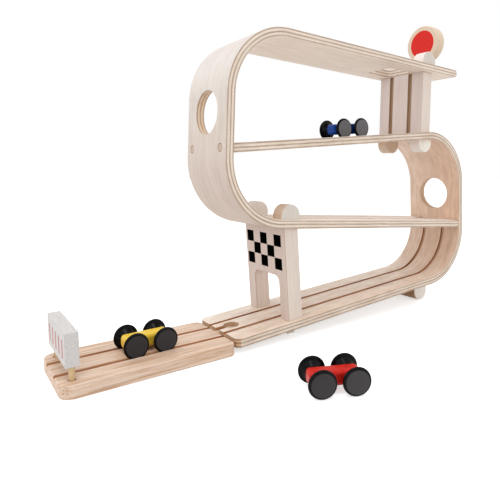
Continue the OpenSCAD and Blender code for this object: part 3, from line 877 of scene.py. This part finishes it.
def finish_band(piece, band, node, from_v, sheet_finish, hole_finish):
    spots = points_of(piece)
    length, depth = band.unroll(spots[:, 0], spots[:, 2])
    keep_grain(piece, length, spots[:, 1], depth)
    lay_finishes(piece, sheet_finish)
    wall_from = from_v - band.low[1] + groove_start/2
    deck_start = band.top[1] - band.low[1] + (bend_r - ply/2)*pi/2

    def part_of(mean):
        inner = groove_part(mean[1], ply - mean[2]) if mean[0] < wall_from else on_wood
        outer = groove_part(mean[1], mean[2]) if mean[0] > deck_start else on_wood
        return inner or outer
    mark_grooves(piece, part_of)

    lay_finishes(piece, hole_finish)
    hole_x, hole_z = band.place(ply/2, hand_hole_v)

    def in_hole(middle, normal):
        from_hole = Vector((middle.x - hole_x, middle.y, middle.z - hole_z)).length
        return from_hole < hand_hole_r + ply/4 and abs(normal.x) < hole_turn
    mark_faces(piece, on_hole, in_hole)
    fit(piece, "track", node)


finish_band(upper_wood, upper, "upper_band", groove_from_left, upper_ply, left_hole_ply)
finish_band(lower_wood, lower, "lower_band", groove_from_right, lower_ply, right_hole_ply)


# the keyhole's side is darker too, as painted shade in its gap, and the base's end takes the
# hand hole's darker plywood
def at_base_end(middle, normal):
    return normal.x < -end_turn and middle.x < base_end + corner_r


def in_neck(middle, normal):
    beside = abs(middle.y) < neck_w/2 + key_gap + neck_margin
    return beside and base_end + neck_margin < middle.x < knob_x and abs(normal.z) < upright_turn


def round_knob(middle, normal):
    from_knob = sqrt((middle.x - knob_x)**2 + middle.y**2)
    return from_knob < knob_r + key_gap + knob_margin and abs(normal.z) < upright_turn


lay_finishes(lower_wood, keyhole_painted_shade)
mark_faces(lower_wood, on_hole, at_base_end)
# the keyhole's neck and round side get painted shade
mark_faces(lower_wood, on_groove_side, in_neck)
mark_faces(lower_wood, on_keyhole, round_knob)


# Start panel and finish gate
# Two upright boards of pale solid wood, planed and sanded, stand between the decks on dowel
# pins. The panel has two upright wheel grooves. The gate has an arch for the cars, and a
# check pattern is printed in black on the side where they come out.
panel_inset = 7
gate_inset = 4
panel_groove_w = 7
pin_in_board = 20.5
arch_w = 54
arch_h = 56
arch_r = 9
check = 15
check_columns = 5
check_rows = 3
check_left = -35.7
check_low = 64.2
board_ease = 0.5
face_skin = 0.2
# where the fine line of painted shade lies along a board face's edge, in from the face
edge_shade_from = 0.3
edge_shade_to = 1.0
edge_shade_soft = 0.15
board_pale = "#e2d4c9"
# the colour of that painted shade
painted_edge_shade = "#c9b7a8"


# a convex outline with round corners, drawn in by some distance
def eased_outline(corners, radius, drawn_in, steps=ease_steps):
    count = len(corners)
    ring = []
    for i in range(count):
        here = Vector(corners[i])
        before = (here - Vector(corners[i - 1])).normalized()
        after = (Vector(corners[(i + 1) % count]) - here).normalized()
        normal_before = Vector((before.y, -before.x))
        normal_after = Vector((after.y, -after.x))
        share = 1 + normal_before.dot(normal_after)
        centre = here - (normal_before + normal_after)*radius/share
        start = np.arctan2(normal_before.y, normal_before.x)
        turn = normal_before.angle_signed(normal_after)
        ring += arc(centre, max(radius - drawn_in, least_r), start, start - turn, steps)
    return ring


# a board whose side view is an outline in x and z
def board_across(name, corners, half_w, radius):
    rings = []
    for y, drawn_in in rounded_ends(-half_w, half_w, radius):
        rings.append([(x, y, z) for x, z in eased_outline(corners, radius, drawn_in)])
    return loft(name, rings)


# side view of a leaning board, cut to the decks under and over it
def board_side(low_deck, high_deck, foot_x, lean):
    foot_z = deck_top(low_deck, foot_x)
    corners = []
    for edge, deck, height in ((-1, low_deck, deck_top), (1, low_deck, deck_top),
                               (1, high_deck, deck_under), (-1, high_deck, deck_under)):
        start_x = foot_x + edge*board_t/2/cos(lean)
        gap = glue_gap if height is deck_top else -glue_gap
        rise = deck_rise[deck - 1]
        z = (height(deck, start_x) + gap - foot_z*rise*tan(lean))/(1 - rise*tan(lean))
        corners.append((start_x + (z - foot_z)*tan(lean), z))
    return corners


# a solid board's own places: up its grain, across it, and in from its left face
def board_grain(piece, foot_x, foot_z, lean):
    spots = points_of(piece)
    off = spots[:, 0] - foot_x
    up = spots[:, 2] - foot_z
    inward = off*cos(lean) - up*sin(lean) + board_t/2
    keep_grain(piece, up*cos(lean) + off*sin(lean), spots[:, 1], inward)


# 1 where every one of the values is 1
def all_of(tree, *values):
    product = values[0]
    for value in values[1:]:
        product = calc(tree, "MULTIPLY", product, value)
    return product


# 1 inside a range of one coordinate, with the edge that ink has on wood
def between(tree, value, low, high, soft=0.12):
    return all_of(tree, remap(tree, value, (low - soft, low + soft)),
                  remap(tree, value, (high - soft, high + soft), (1, 0)))


def on_face(tree, axes):
    return calc(tree, "LESS_THAN", axes["Z"], face_skin)


# pale solid wood; a board's face may be tinted, a little darker on the gate as painted shade, and
# then a fine line of painted shade runs along its edge
def pale_board(name, colour=board_pale, face_tint_and_shade=None):
    finish, tree, shader = new_finish(name)
    place = grain_place(tree)
    axes = axes_of(tree, place)
    toned, fibres = wood_tone(tree, place, colour, 0.14, 0.16)
    if face_tint_and_shade:
        toned = tint(tree, toned, face_tint_and_shade, on_face(tree, axes))
        # a fine line of painted shade along the face's edge
        toned = tint(tree, toned, painted_edge_shade, between(tree, axes["Z"], edge_shade_from, edge_shade_to, edge_shade_soft))
    feed(tree, shader, {"Base Color": toned})
    uneven_polish(tree, shader, place, 0.45, 0.62)
    grain_bump(tree, shader, fibres, 0.08)
    return finish, tree, shader, place, axes, toned


panel_z = deck_top(2, panel_x)
panel_wood = board_across("start_panel_wood", board_side(2, 1, panel_x, panel_lean),
                          half - panel_inset, board_ease)


def panel_face(depth):
    return [leaning(panel_x, panel_z, panel_lean, depth - board_t/2, up) for up in (-2*ply, band_h)]


cut(panel_wood,
    groove("panel_groove_near", panel_face, -groove_y, panel_groove_w),
    groove("panel_groove_far", panel_face, groove_y, panel_groove_w))
for side in (-1, 1):
    cut(panel_wood,
        pin_hole("panel_top_pin", 1, panel_top_x, side*side_y, -ply - pin_in_board, 0),
        pin_hole("panel_low_pin", 2, panel_x, side*low_y, -ply, pin_in_board))
board_grain(panel_wood, panel_x, panel_z, panel_lean)
lay_finishes(panel_wood, pale_board("panel_wood", face_tint_and_shade="#f9f8fe")[0])
panel_groove = groove_wood("panel_groove", "#96785c", "#a98a6d", "#b89b7f")
mark_grooves(panel_wood, lambda mean: groove_part(mean[1], mean[2], panel_groove_w),
             panel_groove, panel_groove)
fit(panel_wood, "track", "start_panel")

gate_z = deck_top(4, gate_x)
gate_wood = board_across("finish_gate_wood", board_side(4, 3, gate_x, -slope_4),
                         half - gate_inset, board_ease)


# the arch seen from the front, across the gate and up it
def gate_arch(spread):
    y = arch_w/2 + spread
    return rounded_box(-y, y, -ply, arch_h + spread, arch_r + spread)


arch_rings = []
for depth, spread in both_mouths(board_t, rim_ease):
    ring = []
    for y, up in gate_arch(spread):
        x, z = leaning(gate_x, gate_z, -slope_4, depth - board_t/2, up)
        ring.append((x, y, z))
    arch_rings.append(ring)
cut(gate_wood, loft("gate_arch_cut", arch_rings))
for side in (-1, 1):
    cut(gate_wood,
        pin_hole("gate_top_pin", 3, gate_top_x, side*side_y, -ply - pin_in_board, 0),
        pin_hole("gate_low_pin", 4, gate_x, side*side_y, -ply, pin_in_board))
board_grain(gate_wood, gate_x, gate_z, -slope_4)


# every second square of the pattern is inked, and the ink has no sheen
def checked_wood():
    # the gate's face is darkened a little, as painted shade
    finish, tree, shader, place, axes, toned = pale_board("gate_wood_with_checks", face_tint_and_shade="#f3eeef")
    column = calc(tree, "DIVIDE", calc(tree, "SUBTRACT", axes["Y"], check_left), check)
    row = calc(tree, "DIVIDE", calc(tree, "SUBTRACT", axes["X"], check_low), check)
    count = calc(tree, "ADD", calc(tree, "FLOOR", column), calc(tree, "FLOOR", row))
    odd = calc(tree, "ABSOLUTE", calc(tree, "MODULO", count, 2.0))
    ink = all_of(tree, calc(tree, "SUBTRACT", 1.0, odd),
                 between(tree, axes["Y"], check_left, check_left + check_columns*check),
                 between(tree, axes["X"], check_low, check_low + check_rows*check),
                 on_face(tree, axes))
    speck = noise(tree, place, (0.9, 0.9, 0.9), 3, 0.6)
    black = ramp(tree, speck, [(0.3, "#020202"), (0.75, "#080808")])
    feed(tree, shader, {"Base Color": mix(tree, ink, toned, black),
                        "Specular IOR Level": remap(tree, ink, (0, 1), (0.5, 0))})
    return finish


lay_finishes(gate_wood, checked_wood())
fit(gate_wood, "track", "finish_gate")


# Half-round caps and feet
# Short lengths of round-topped moulding, sawn to length: two over and two under the start
# panel and two over the gate cover the ends of the pins, and a taller one lifts the far end
# of the base. A flat strip under the gate is the front foot.
cap_w = 29
cap_h = 19
cap_len = 18
cap_ease = 0.6
cap_steps = 28
pin_in_cap = 13
on_sawn_end = 1
sawn_turn = 0.8
foot_len = 54
rear_foot_x = 376
rear_foot_h = deck_top(4, rear_foot_x)
front_foot_w = 11


# flat side on height 0, sides up to the half-round, all drawn in except the flat side
def dome(h, drawn_in):
    r = cap_w/2 - drawn_in
    return [(r, 0)] + arc((0, h - cap_w/2), r, 0, pi, cap_steps) + [(-r, 0)]


def moulding(name, place, y, h, length):
    rings = []
    for across, drawn_in in rounded_ends(y - length/2, y + length/2, cap_ease):
        placed = [place(a, b) for a, b in dome(h, drawn_in)]
        rings.append([(x, across, z) for x, z in placed])
    return loft(name, rings)


# the grain follows the piece's own axes, named in the order along, across and through
def axis_grain(piece, order, start=(0, 0, 0)):
    spots = points_of(piece) - start
    keep_grain(piece, *(spots[:, "xyz".index(axis)] for axis in order))


def finish_moulding(piece, node, middle_x, middle_z, side_finish, end_finish):
    axis_grain(piece, "zxy", (middle_x, 0, middle_z))
    lay_finishes(piece, side_finish, end_finish)
    mark_faces(piece, on_sawn_end, lambda middle, normal: abs(normal.y) > sawn_turn)
    fit(piece, "track", node)


# lit and shaded copies of one moulding wood: the white ones are painted light, the tan and brown ones
# painted shade
shaded_tan_side = pale_board("shaded_tan_moulding_side", "#d2bda6")[0]
pale_end = pale_board("pale_sawn_end", "#dad2c9")[0]
lit_white_side = pale_board("lit_white_moulding_side", "#ece4de")[0]
lit_white_end = pale_board("lit_white_sawn_end", "#f6efe6")[0]
shaded_brown_side = pale_board("shaded_brown_foot_side", "#b3875f")[0]

# each cap's deck, place, way up, and the finish of its side and its sawn end, near and far; the
# finishes give each cap its painted light and shade
caps = {
    "panel_cap_top": (1, panel_top_x, side_y, 1, (lit_white_side, pale_end), (lit_white_side, lit_white_end)),
    "panel_cap_low": (2, panel_x, low_y, -1, (lit_white_side, lit_white_end), (shaded_tan_side, shaded_tan_side)),
    "gate_cap": (3, gate_top_x, side_y, 1, (shaded_tan_side, pale_end), (lit_white_side, lit_white_end)),
}
for name, (deck, x, out, up, near_look, far_look) in caps.items():
    lift = glue_gap if up > 0 else -ply - glue_gap
    span = (-ply, pin_in_cap) if up > 0 else (-ply - pin_in_cap, ply)
    on_deck = deck_place(deck, x)
    for side, end, look in ((-1, "near", near_look), (1, "far", far_look)):
        def on_cap(a, b):
            return on_deck(up*b + lift, a)
        piece = moulding(f"{name}_{end}_wood", on_cap, side*out, cap_h, cap_len)
        cut(piece, pin_hole("cap_pin", deck, x, side*out, *span))
        if up < 0:
            trim = lower.strip_of_wood()
            trim.location.z = -glue_gap*mm
            cut(piece, trim)
        finish_moulding(piece, f"{name}_{end}", x, deck_top(deck, x), *look)


def hang_from_base(a, b):
    x = rear_foot_x + a
    return x, min(rear_foot_h - b, deck_under(4, x) - glue_gap)


rear_foot_wood = moulding("rear_foot_wood", hang_from_base, 0, rear_foot_h, foot_len)
# the foot's sides carry painted shade, and its sawn ends painted light
finish_moulding(rear_foot_wood, "rear_foot", rear_foot_x, 0, shaded_brown_side, lit_white_end)

foot_corners = [(gate_x, 0), (gate_x + front_foot_w, 0)]
foot_corners += [(x, deck_under(4, x) - glue_gap) for x, z in reversed(foot_corners)]
front_foot_wood = board_across("front_foot_wood", foot_corners, foot_len/2, cap_ease)
# painted shade on the sides and painted light on the sawn ends, as on the rear foot
finish_moulding(front_foot_wood, "front_foot", gate_x, 0, shaded_brown_side, lit_white_end)


# Dowel pins and plugs
# Birch dowel, cut short. The pins are glued inside the boards and caps and hardly show. The
# plugs go through the end walls into the deck ends, with their round heads a touch below
# the face.
head_drop = 0.25
head_crown = [(1.2, -0.04), (3.0, 0), (4.2, 0.08), (4.62, 0.3), (4.7, 0.6)]
head_r = head_crown[-1][0]
plug_steps = 48
on_plug_rim = 1
head_turn = 0.95


# pieces that keep their shape from the model have no grain of their own, so metres serve
def model_place(tree):
    return add_node(tree, "TexCoord").outputs["Object"]


# a turned piece: radius and height pairs swung round an axis
def turned_piece(name, profile, place, steps):
    return loft(name, [[place(a, b, along) for a, b in circle(radius, steps)] for radius, along in profile])


dowel_wood = marked_finish("birch_dowel", 0.55, model_place, ((900, 900, 40), 4, 0.6),
                           [(0.3, "#c3a06d"), (0.55, "#d6b98c"), (0.75, "#e4cda9")], 0.10)
plug_end_wood = marked_finish("plug_end_grain", 0.62, grain_place, ((0.1, 0.55, 1.6), 4, 0.65),
                              [(0.28, "#a98f79"), (0.5, "#c8b19c"), (0.75, "#d9c6b4")], 0.12)
# a dark finish on the sides of the plug heads: painted shade in the gap round each head
plug_rim_shade = groove_wood("plug_rim", "#7d6856", "#927c69", "#a58f7c")
plug_profile = [(radius, head_drop + depth) for radius, depth in head_crown]
plug_profile += [(head_r, plug_head_t), (plug_shank_r, plug_head_t + plug_step), (plug_shank_r, plug_len)]
for band, v, end in ((upper, left_plug_v, "left"), (lower, right_plug_v, "right")):
    for side, name in ((-1, "near"), (1, "far")):
        def in_wall(a, b, depth):
            x, z = band.place(depth, v + a)
            return x, side*plug_y + b, z
        plug = turned_piece(f"{end}_plug_{name}_wood", plug_profile, in_wall, plug_steps)
        axis_grain(plug, "xyz")
        lay_finishes(plug, plug_end_wood, plug_rim_shade)
        mark_faces(plug, on_plug_rim, lambda middle, normal: abs(normal.x) < head_turn)
        fit(plug, "track", f"{end}_plug_{name}")


# puts a finish on a piece that keeps its shape from the model
def dress(node, finish):
    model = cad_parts[node]
    model.data.materials.clear()
    model.data.materials.append(finish)


for level in ("panel_pin_top", "panel_pin_low", "gate_pin_top", "gate_pin_low"):
    for end in ("near", "far"):
        dress(f"{level}_{end}", dowel_wood)
dress("sign_post", dowel_wood)


# Round sign
# A thick disc, sawn from pale board and sanded, on a short dowel behind the panel's caps. A
# red spot is printed on the face that looks down the top deck.
sign_r = 28.25
sign_skin = 0.02
sign_lift = 18
sign_low = deck_top(1, post_x) + sign_lift
sign_z = sign_low + sign_r
sign_ease = 0.8
sign_steps = 96
spot_r = 21.3
post_in_sign = 12.5
sign_profile = [(sign_r - sign_skin - drawn_in, along)
                for along, drawn_in in rounded_ends(0, sign_t, sign_ease, steps=5)]
sign_wood = turned_piece("sign_disc_wood", sign_profile,
                         lambda a, b, along: (sign_x + along, b, sign_z + a), sign_steps)
cut(sign_wood, upright_bore("sign_post_cut", post_x, 0, sign_low, post_r + bore_play,
                            [(-ply, 0), (post_in_sign, 0)]))
axis_grain(sign_wood, "zyx", (sign_x, 0, sign_z))


def spotted_wood():
    finish, tree, shader, place, axes, toned = pale_board("sign_wood_with_spot", "#e0cbb4")
    flat_place = add_node(tree, "CombineXYZ", {0: axes["X"], 1: axes["Y"], 2: 0.0}).outputs[0]
    from_middle = add_node(tree, "VectorMath", {0: flat_place}, operation="LENGTH").outputs["Value"]
    spot = all_of(tree, between(tree, from_middle, -1.0, spot_r), on_face(tree, axes))
    speck = noise(tree, place, (0.35, 0.8, 0.8), 4, 0.6)
    red = ramp(tree, speck, [(0.3, "#cf2019"), (0.7, "#df2a22")])
    feed(tree, shader, {"Base Color": mix(tree, spot, toned, red), "Specular IOR Level": 0.2})
    return finish


lay_finishes(sign_wood, spotted_wood())
fit(sign_wood, "track", "sign_disc")


# Tray
# One plank of rubberwood, warmer than the birch, with a jigsaw tongue that drops into the
# keyhole of the base. Its grain runs along it, and the two wheel grooves go on from the base.
tray_left = -177.48
tray_gap = 1
tray_right = base_end - tray_gap
tray_wider = 0.8
tray_half = half + tray_wider
tray_h = 14.1
tray_ease = 1.2
tray_corner_r = 13
tongue_ease = 0.7
inner_steps = 10
stop_x = -171
stop_t = 13.6
stop_mid = stop_x + stop_t/2
stop_dowel_y = 34.5
stop_dowel_r = 3
dowel_in_tray = 10.4
hole_flare = 1.0


def tray_outline(drawn_in):
    left, right, side = tray_left + drawn_in, tray_right - drawn_in, tray_half - drawn_in
    inner, outer = corner_r - drawn_in, tray_corner_r - drawn_in
    small = min(drawn_in, tongue_ease)
    tongue = tongue_line(right, knob_r - small, neck_w/2 - small)
    return (arc((left + outer, -side + outer), outer, pi, 3*pi/2, corner_steps)
            + arc((right - inner, -side + inner), inner, -pi/2, 0, inner_steps) + tongue
            + arc((right - inner, side - inner), inner, 0, pi/2, inner_steps)
            + arc((left + outer, side - outer), outer, pi/2, pi, corner_steps))


def tray_line(depth):
    return [(x, tray_h - depth) for x in (tray_left - ply, knob_x + ply)]


tray_wood = loft("tray_wood", [[(x, y, z) for x, y in tray_outline(drawn_in)]
                               for z, drawn_in in rounded_ends(0, tray_h, tray_ease)])
for y in (-groove_y, groove_y):
    cut(tray_wood, groove("tray_groove", tray_line, y))
hole_profile = [(-dowel_in_tray, 0), (-hole_flare, 0), (0, hole_flare), (ply, hole_flare)]
for side in (-1, 1):
    cut(tray_wood, upright_bore("tray_dowel_cut", stop_mid, side*stop_dowel_y, tray_h,
                                stop_dowel_r + bore_play, hole_profile))
axis_grain(tray_wood, "xyz")


# long brown streaks between paler ones, with many pores
def rubberwood():
    finish, tree, shader = new_finish("rubberwood")
    place = grain_place(tree)
    streaks = noise(tree, place, (0.012, 0.30, 0.40), 6, 0.72)
    tone = ramp(tree, streaks, [(0.30, "#b38762"), (0.42, "#ceaa8c"), (0.54, "#e3c9b4"), (0.72, "#ecdccf")])
    toned, fibres = wood_tone(tree, place, tone, 0.30, 0.50)
    feed(tree, shader, {"Base Color": toned})
    uneven_polish(tree, shader, place, 0.42, 0.58)
    grain_bump(tree, shader, fibres, 0.14)
    return finish


# the flared mouths of the stop's dowel holes, which are given painted shade
def in_dowel_hole(middle, normal):
    from_dowel = sqrt((middle.x - stop_mid)**2 + (abs(middle.y) - stop_dowel_y)**2)
    return from_dowel < stop_dowel_r + hole_flare and middle.z < tray_h - bore_play


lay_finishes(tray_wood, rubberwood())
# the groove sides and the dowel holes' mouths are darker, as painted shade
mark_grooves(tray_wood, lambda mean: groove_part(mean[1], tray_h - mean[2]),
             groove_wood("tray_groove_wall_shade", "#9d6842", "#b58058", "#c99a74"),
             groove_wood("tray_groove_bottom", "#c89b75", "#d9b18e", "#e5c5a8"))
mark_faces(tray_wood, on_groove_side, in_dowel_hole)
fit(tray_wood, "tray", "tray")


# Stop board
# A small block painted off-white stands across the tray on two dowels and stops the cars.
# Five thin red stripes are printed on its outer face.
stop_half = 40
stop_h = 34
stop_lift = 14
stop_low = tray_h + stop_lift
stop_ease = 0.5
dowel_in_stop = 12.5
stripe_count = 5
stripe_step = 14.6
stripe_w = 5.2
stripe_low = 7
stripe_high = 25.5
stripe_span = stripe_count*stripe_step/2
stop_corners = [(stop_x, stop_low), (stop_x + stop_t, stop_low),
                (stop_x + stop_t, stop_low + stop_h), (stop_x, stop_low + stop_h)]
stop_wood = board_across("stop_board_wood", stop_corners, stop_half, stop_ease)
for side in (-1, 1):
    cut(stop_wood, upright_bore("stop_dowel_cut", stop_mid, side*stop_dowel_y, stop_low,
                                stop_dowel_r + bore_play, [(-ply, 0), (dowel_in_stop, 0)]))
axis_grain(stop_wood, "yzx", (stop_x, 0, stop_low))


def striped_paint():
    finish, tree, shader = new_finish("off_white_paint", 0.55)
    place = grain_place(tree)
    axes = axes_of(tree, place)
    brush = noise(tree, place, (0.05, 0.9, 0.9), 5, 0.6)
    off_white = ramp(tree, brush, [(0.3, "#c6c1be"), (0.55, "#d3cfcc"), (0.8, "#dad7d4")])
    specks = noise(tree, place, (0.45, 0.45, 0.45), 4, 0.7)
    off_white = tint(tree, off_white, ramp(tree, specks, [(0.38, 0.90), (0.55, 1.0), (0.72, 1.03)]))
    stripe_at = calc(tree, "ADD", calc(tree, "DIVIDE", axes["X"], stripe_step), 0.5)
    off_middle = calc(tree, "ABSOLUTE", calc(tree, "SUBTRACT", calc(tree, "FRACT", stripe_at), 0.5))
    striped = all_of(tree, between(tree, calc(tree, "MULTIPLY", off_middle, stripe_step), -1.0, stripe_w/2),
                     between(tree, axes["X"], -stripe_span, stripe_span),
                     between(tree, axes["Y"], stripe_low, stripe_high), on_face(tree, axes))
    red = ramp(tree, brush, [(0.3, "#a8605c"), (0.7, "#bd726c")])
    feed(tree, shader, {"Base Color": mix(tree, striped, off_white, red)})
    grain_bump(tree, shader, brush, 0.08)
    return finish


lay_finishes(stop_wood, striped_paint())
fit(stop_wood, "stop", "stop_board")
for end in ("near", "far"):
    dress(f"stop_dowel_{end}", dowel_wood)


# Cars
# Each car is a slim bar of beech, rounded on every edge and painted, with two steel axles and
# four black wheels. A wheel has a thin rim for the groove and a cone towards the body.
wheel_r = 14.3
wheelbase = 34
groove_to_rim = 1.7
rim_out = groove_y + groove_to_rim
hub_in = 9.4
wheel_w = rim_out - hub_in
wheel_steps = 72
body_len = 53
body_w = 18
body_h = 14.6
body_round = 4.2
body_corner = 3.6
least_corner = 1.2
corner_share = 0.4
body_steps = 7
axle_hole_r = 2.05
axle_hole_steps = 32
wheel_play = 0.25
axle_up = wheel_r - groove_d + wheel_play
yellow_x = -76
blue_x = 232
red_x = 48.5
red_y = -172.1
red_heading = radians(-23.3)


def body_section(drawn_in):
    y, z = body_w/2 - drawn_in, body_h/2 - drawn_in
    corner = max(body_corner - drawn_in*corner_share, least_corner)
    return rounded_box(-y, y, -z, z, corner, body_steps)


def car_place(middle, heading=0, slope=0):
    turned = Matrix.Rotation(heading, 4, "Z") @ Matrix.Rotation(-slope, 4, "Y")
    placed = Matrix.Translation(Vector(middle)) @ turned
    return lambda x, y, z: tuple(placed @ Vector((x, y, z)))


blue_axle_x, blue_axle_z = deck_place(2, blue_x)(axle_up, 0)
cars = {
    "yellow": (car_place((yellow_x, 0, tray_h + axle_up)), "#f0cb45", "#dcb02e"),
    "blue": (car_place((blue_axle_x, 0, blue_axle_z), 0, slope_2), "#1147a0", "#0b3585"),
    "red": (car_place((red_x, red_y, wheel_r), red_heading), "#d2241a", "#aa1711"),
}


# black lacquer on wood: fine orange peel on the rims, and a flat face that is rubbed dull, with a
# painted sheen that makes it paler at a slant
def wheel_lacquer():
    finish, tree, shader = new_finish("wheel_lacquer")
    place = grain_place(tree)
    peel = noise(tree, place, (1.1, 1.1, 1.1), 4, 0.6)
    rim_tone = ramp(tree, peel, [(0.3, "#030304"), (0.7, "#080809")])
    straight_on = ramp(tree, peel, [(0.28, "#302d2e"), (0.72, "#3c393b")])
    painted_sheen = ramp(tree, peel, [(0.28, "#636163"), (0.72, "#78767a")])
    slant = add_node(tree, "LayerWeight", {"Blend": 0.5}).outputs["Facing"]
    face_tone = mix(tree, remap(tree, slant, (0.13, 0.32)), straight_on, painted_sheen)
    worn = remap(tree, axes_of(tree, place)["Z"], (0.35, 0.75))
    feed(tree, shader, {"Base Color": mix(tree, worn, rim_tone, face_tone), "Specular IOR Level": 0.11,
                        "Roughness": remap(tree, worn, (0, 1), (0.26, 0.62))})
    grain_bump(tree, shader, peel, 0.12)
    return finish


def car_paint(name, bright, dark):
    lacquer = {"Specular IOR Level": 0.14, "Coat Weight": 0.04, "Coat Roughness": 0.15}
    return marked_finish(name, 0.34, grain_place, ((0.06, 0.7, 0.7), 5, 0.6),
                         [(0.28, dark), (0.60, bright), (0.85, bright)], 0.10, lacquer)


# the wheel's profile, from its bore round the hub, the cone and the rim to its flat face
hub_r = 6.6
cone_r = 10.85
rim_w = 3.4
rim_in = wheel_w - rim_w
edge_w = 2.7
edge_d = 2.2
edge_steps = 8
bore_r = 2.0
bore_wall = 2.6
bore_end = wheel_w - bore_wall
axis_r = 0.2
dish = 0.05
dish_r = 5.0
flat_r = wheel_r - edge_w
bore_line = [(axis_r, bore_end), (bore_r, bore_end - 0.01), (bore_r, 0.3), (bore_r + 0.3, 0.0)]
hub_line = [(hub_r - 0.4, 0.0), (hub_r, 0.35)]
cone_line = [(cone_r - 0.6, rim_in - 0.9), (cone_r + 0.2, rim_in - 0.35)]
rim_line = [(wheel_r - 1.3, rim_in + 0.05), (wheel_r - 0.45, rim_in + 0.3), (wheel_r, rim_in + 0.9)]
edge_line = [(flat_r + edge_w*cos(turn), wheel_w - edge_d + edge_d*sin(turn))
             for turn in np.linspace(0, pi/2, edge_steps + 1)]
face_line = [(flat_r - 1.2, wheel_w), (dish_r, wheel_w - dish), (axis_r, wheel_w - dish)]
wheel_profile = bore_line + hub_line + cone_line + rim_line + edge_line + face_line
flat_rings = [float(along > wheel_w - face_skin and radius < flat_r + dish)
              for radius, along in wheel_profile]
flat_face = np.repeat(flat_rings, wheel_steps)

wheel_black = wheel_lacquer()
axle_steel = marked_finish("axle_steel", 0.3, model_place, ((4000, 4000, 4000), 3, 0.6),
                           [(0.3, "#9a9ca0"), (0.7, "#c3c5c8")], 0.1, {"Metallic": 1.0})
for colour, (place_car, bright, dark) in cars.items():
    rings = []
    for x, drawn_in in rounded_ends(-body_len/2, body_len/2, body_round, body_steps):
        rings.append([place_car(x, y, z) for y, z in body_section(drawn_in)])
    body = loft(f"{colour}_body_bar", rings)
    for end in (-1, 1):
        hole = [[place_car(end*wheelbase/2 + a, y, b) for a, b in circle(axle_hole_r, axle_hole_steps)]
                for y in (-body_w, body_w)]
        cut(body, loft("axle_cut", hole))
    axis_grain(body, "xyz")
    lay_finishes(body, car_paint(f"{colour}_paint", bright, dark))
    fit(body, f"{colour}_car", f"{colour}_body")

    for end, row in ((-1, "front"), (1, "rear")):
        dress(f"{colour}_{row}_axle", axle_steel)
        for side, name in ((-1, "near"), (1, "far")):
            def on_axle(a, b, out):
                return place_car(end*wheelbase/2 + a, side*(hub_in + out), b)
            wheel = turned_piece(f"{colour}_wheel_{row}_{name}_black", wheel_profile, on_axle, wheel_steps)
            spots = points_of(wheel)
            keep_grain(wheel, spots[:, 0], spots[:, 2], flat_face)
            lay_finishes(wheel, wheel_black)
            fit(wheel, f"{colour}_{row}_wheels", f"{colour}_wheel_{row}_{name}")
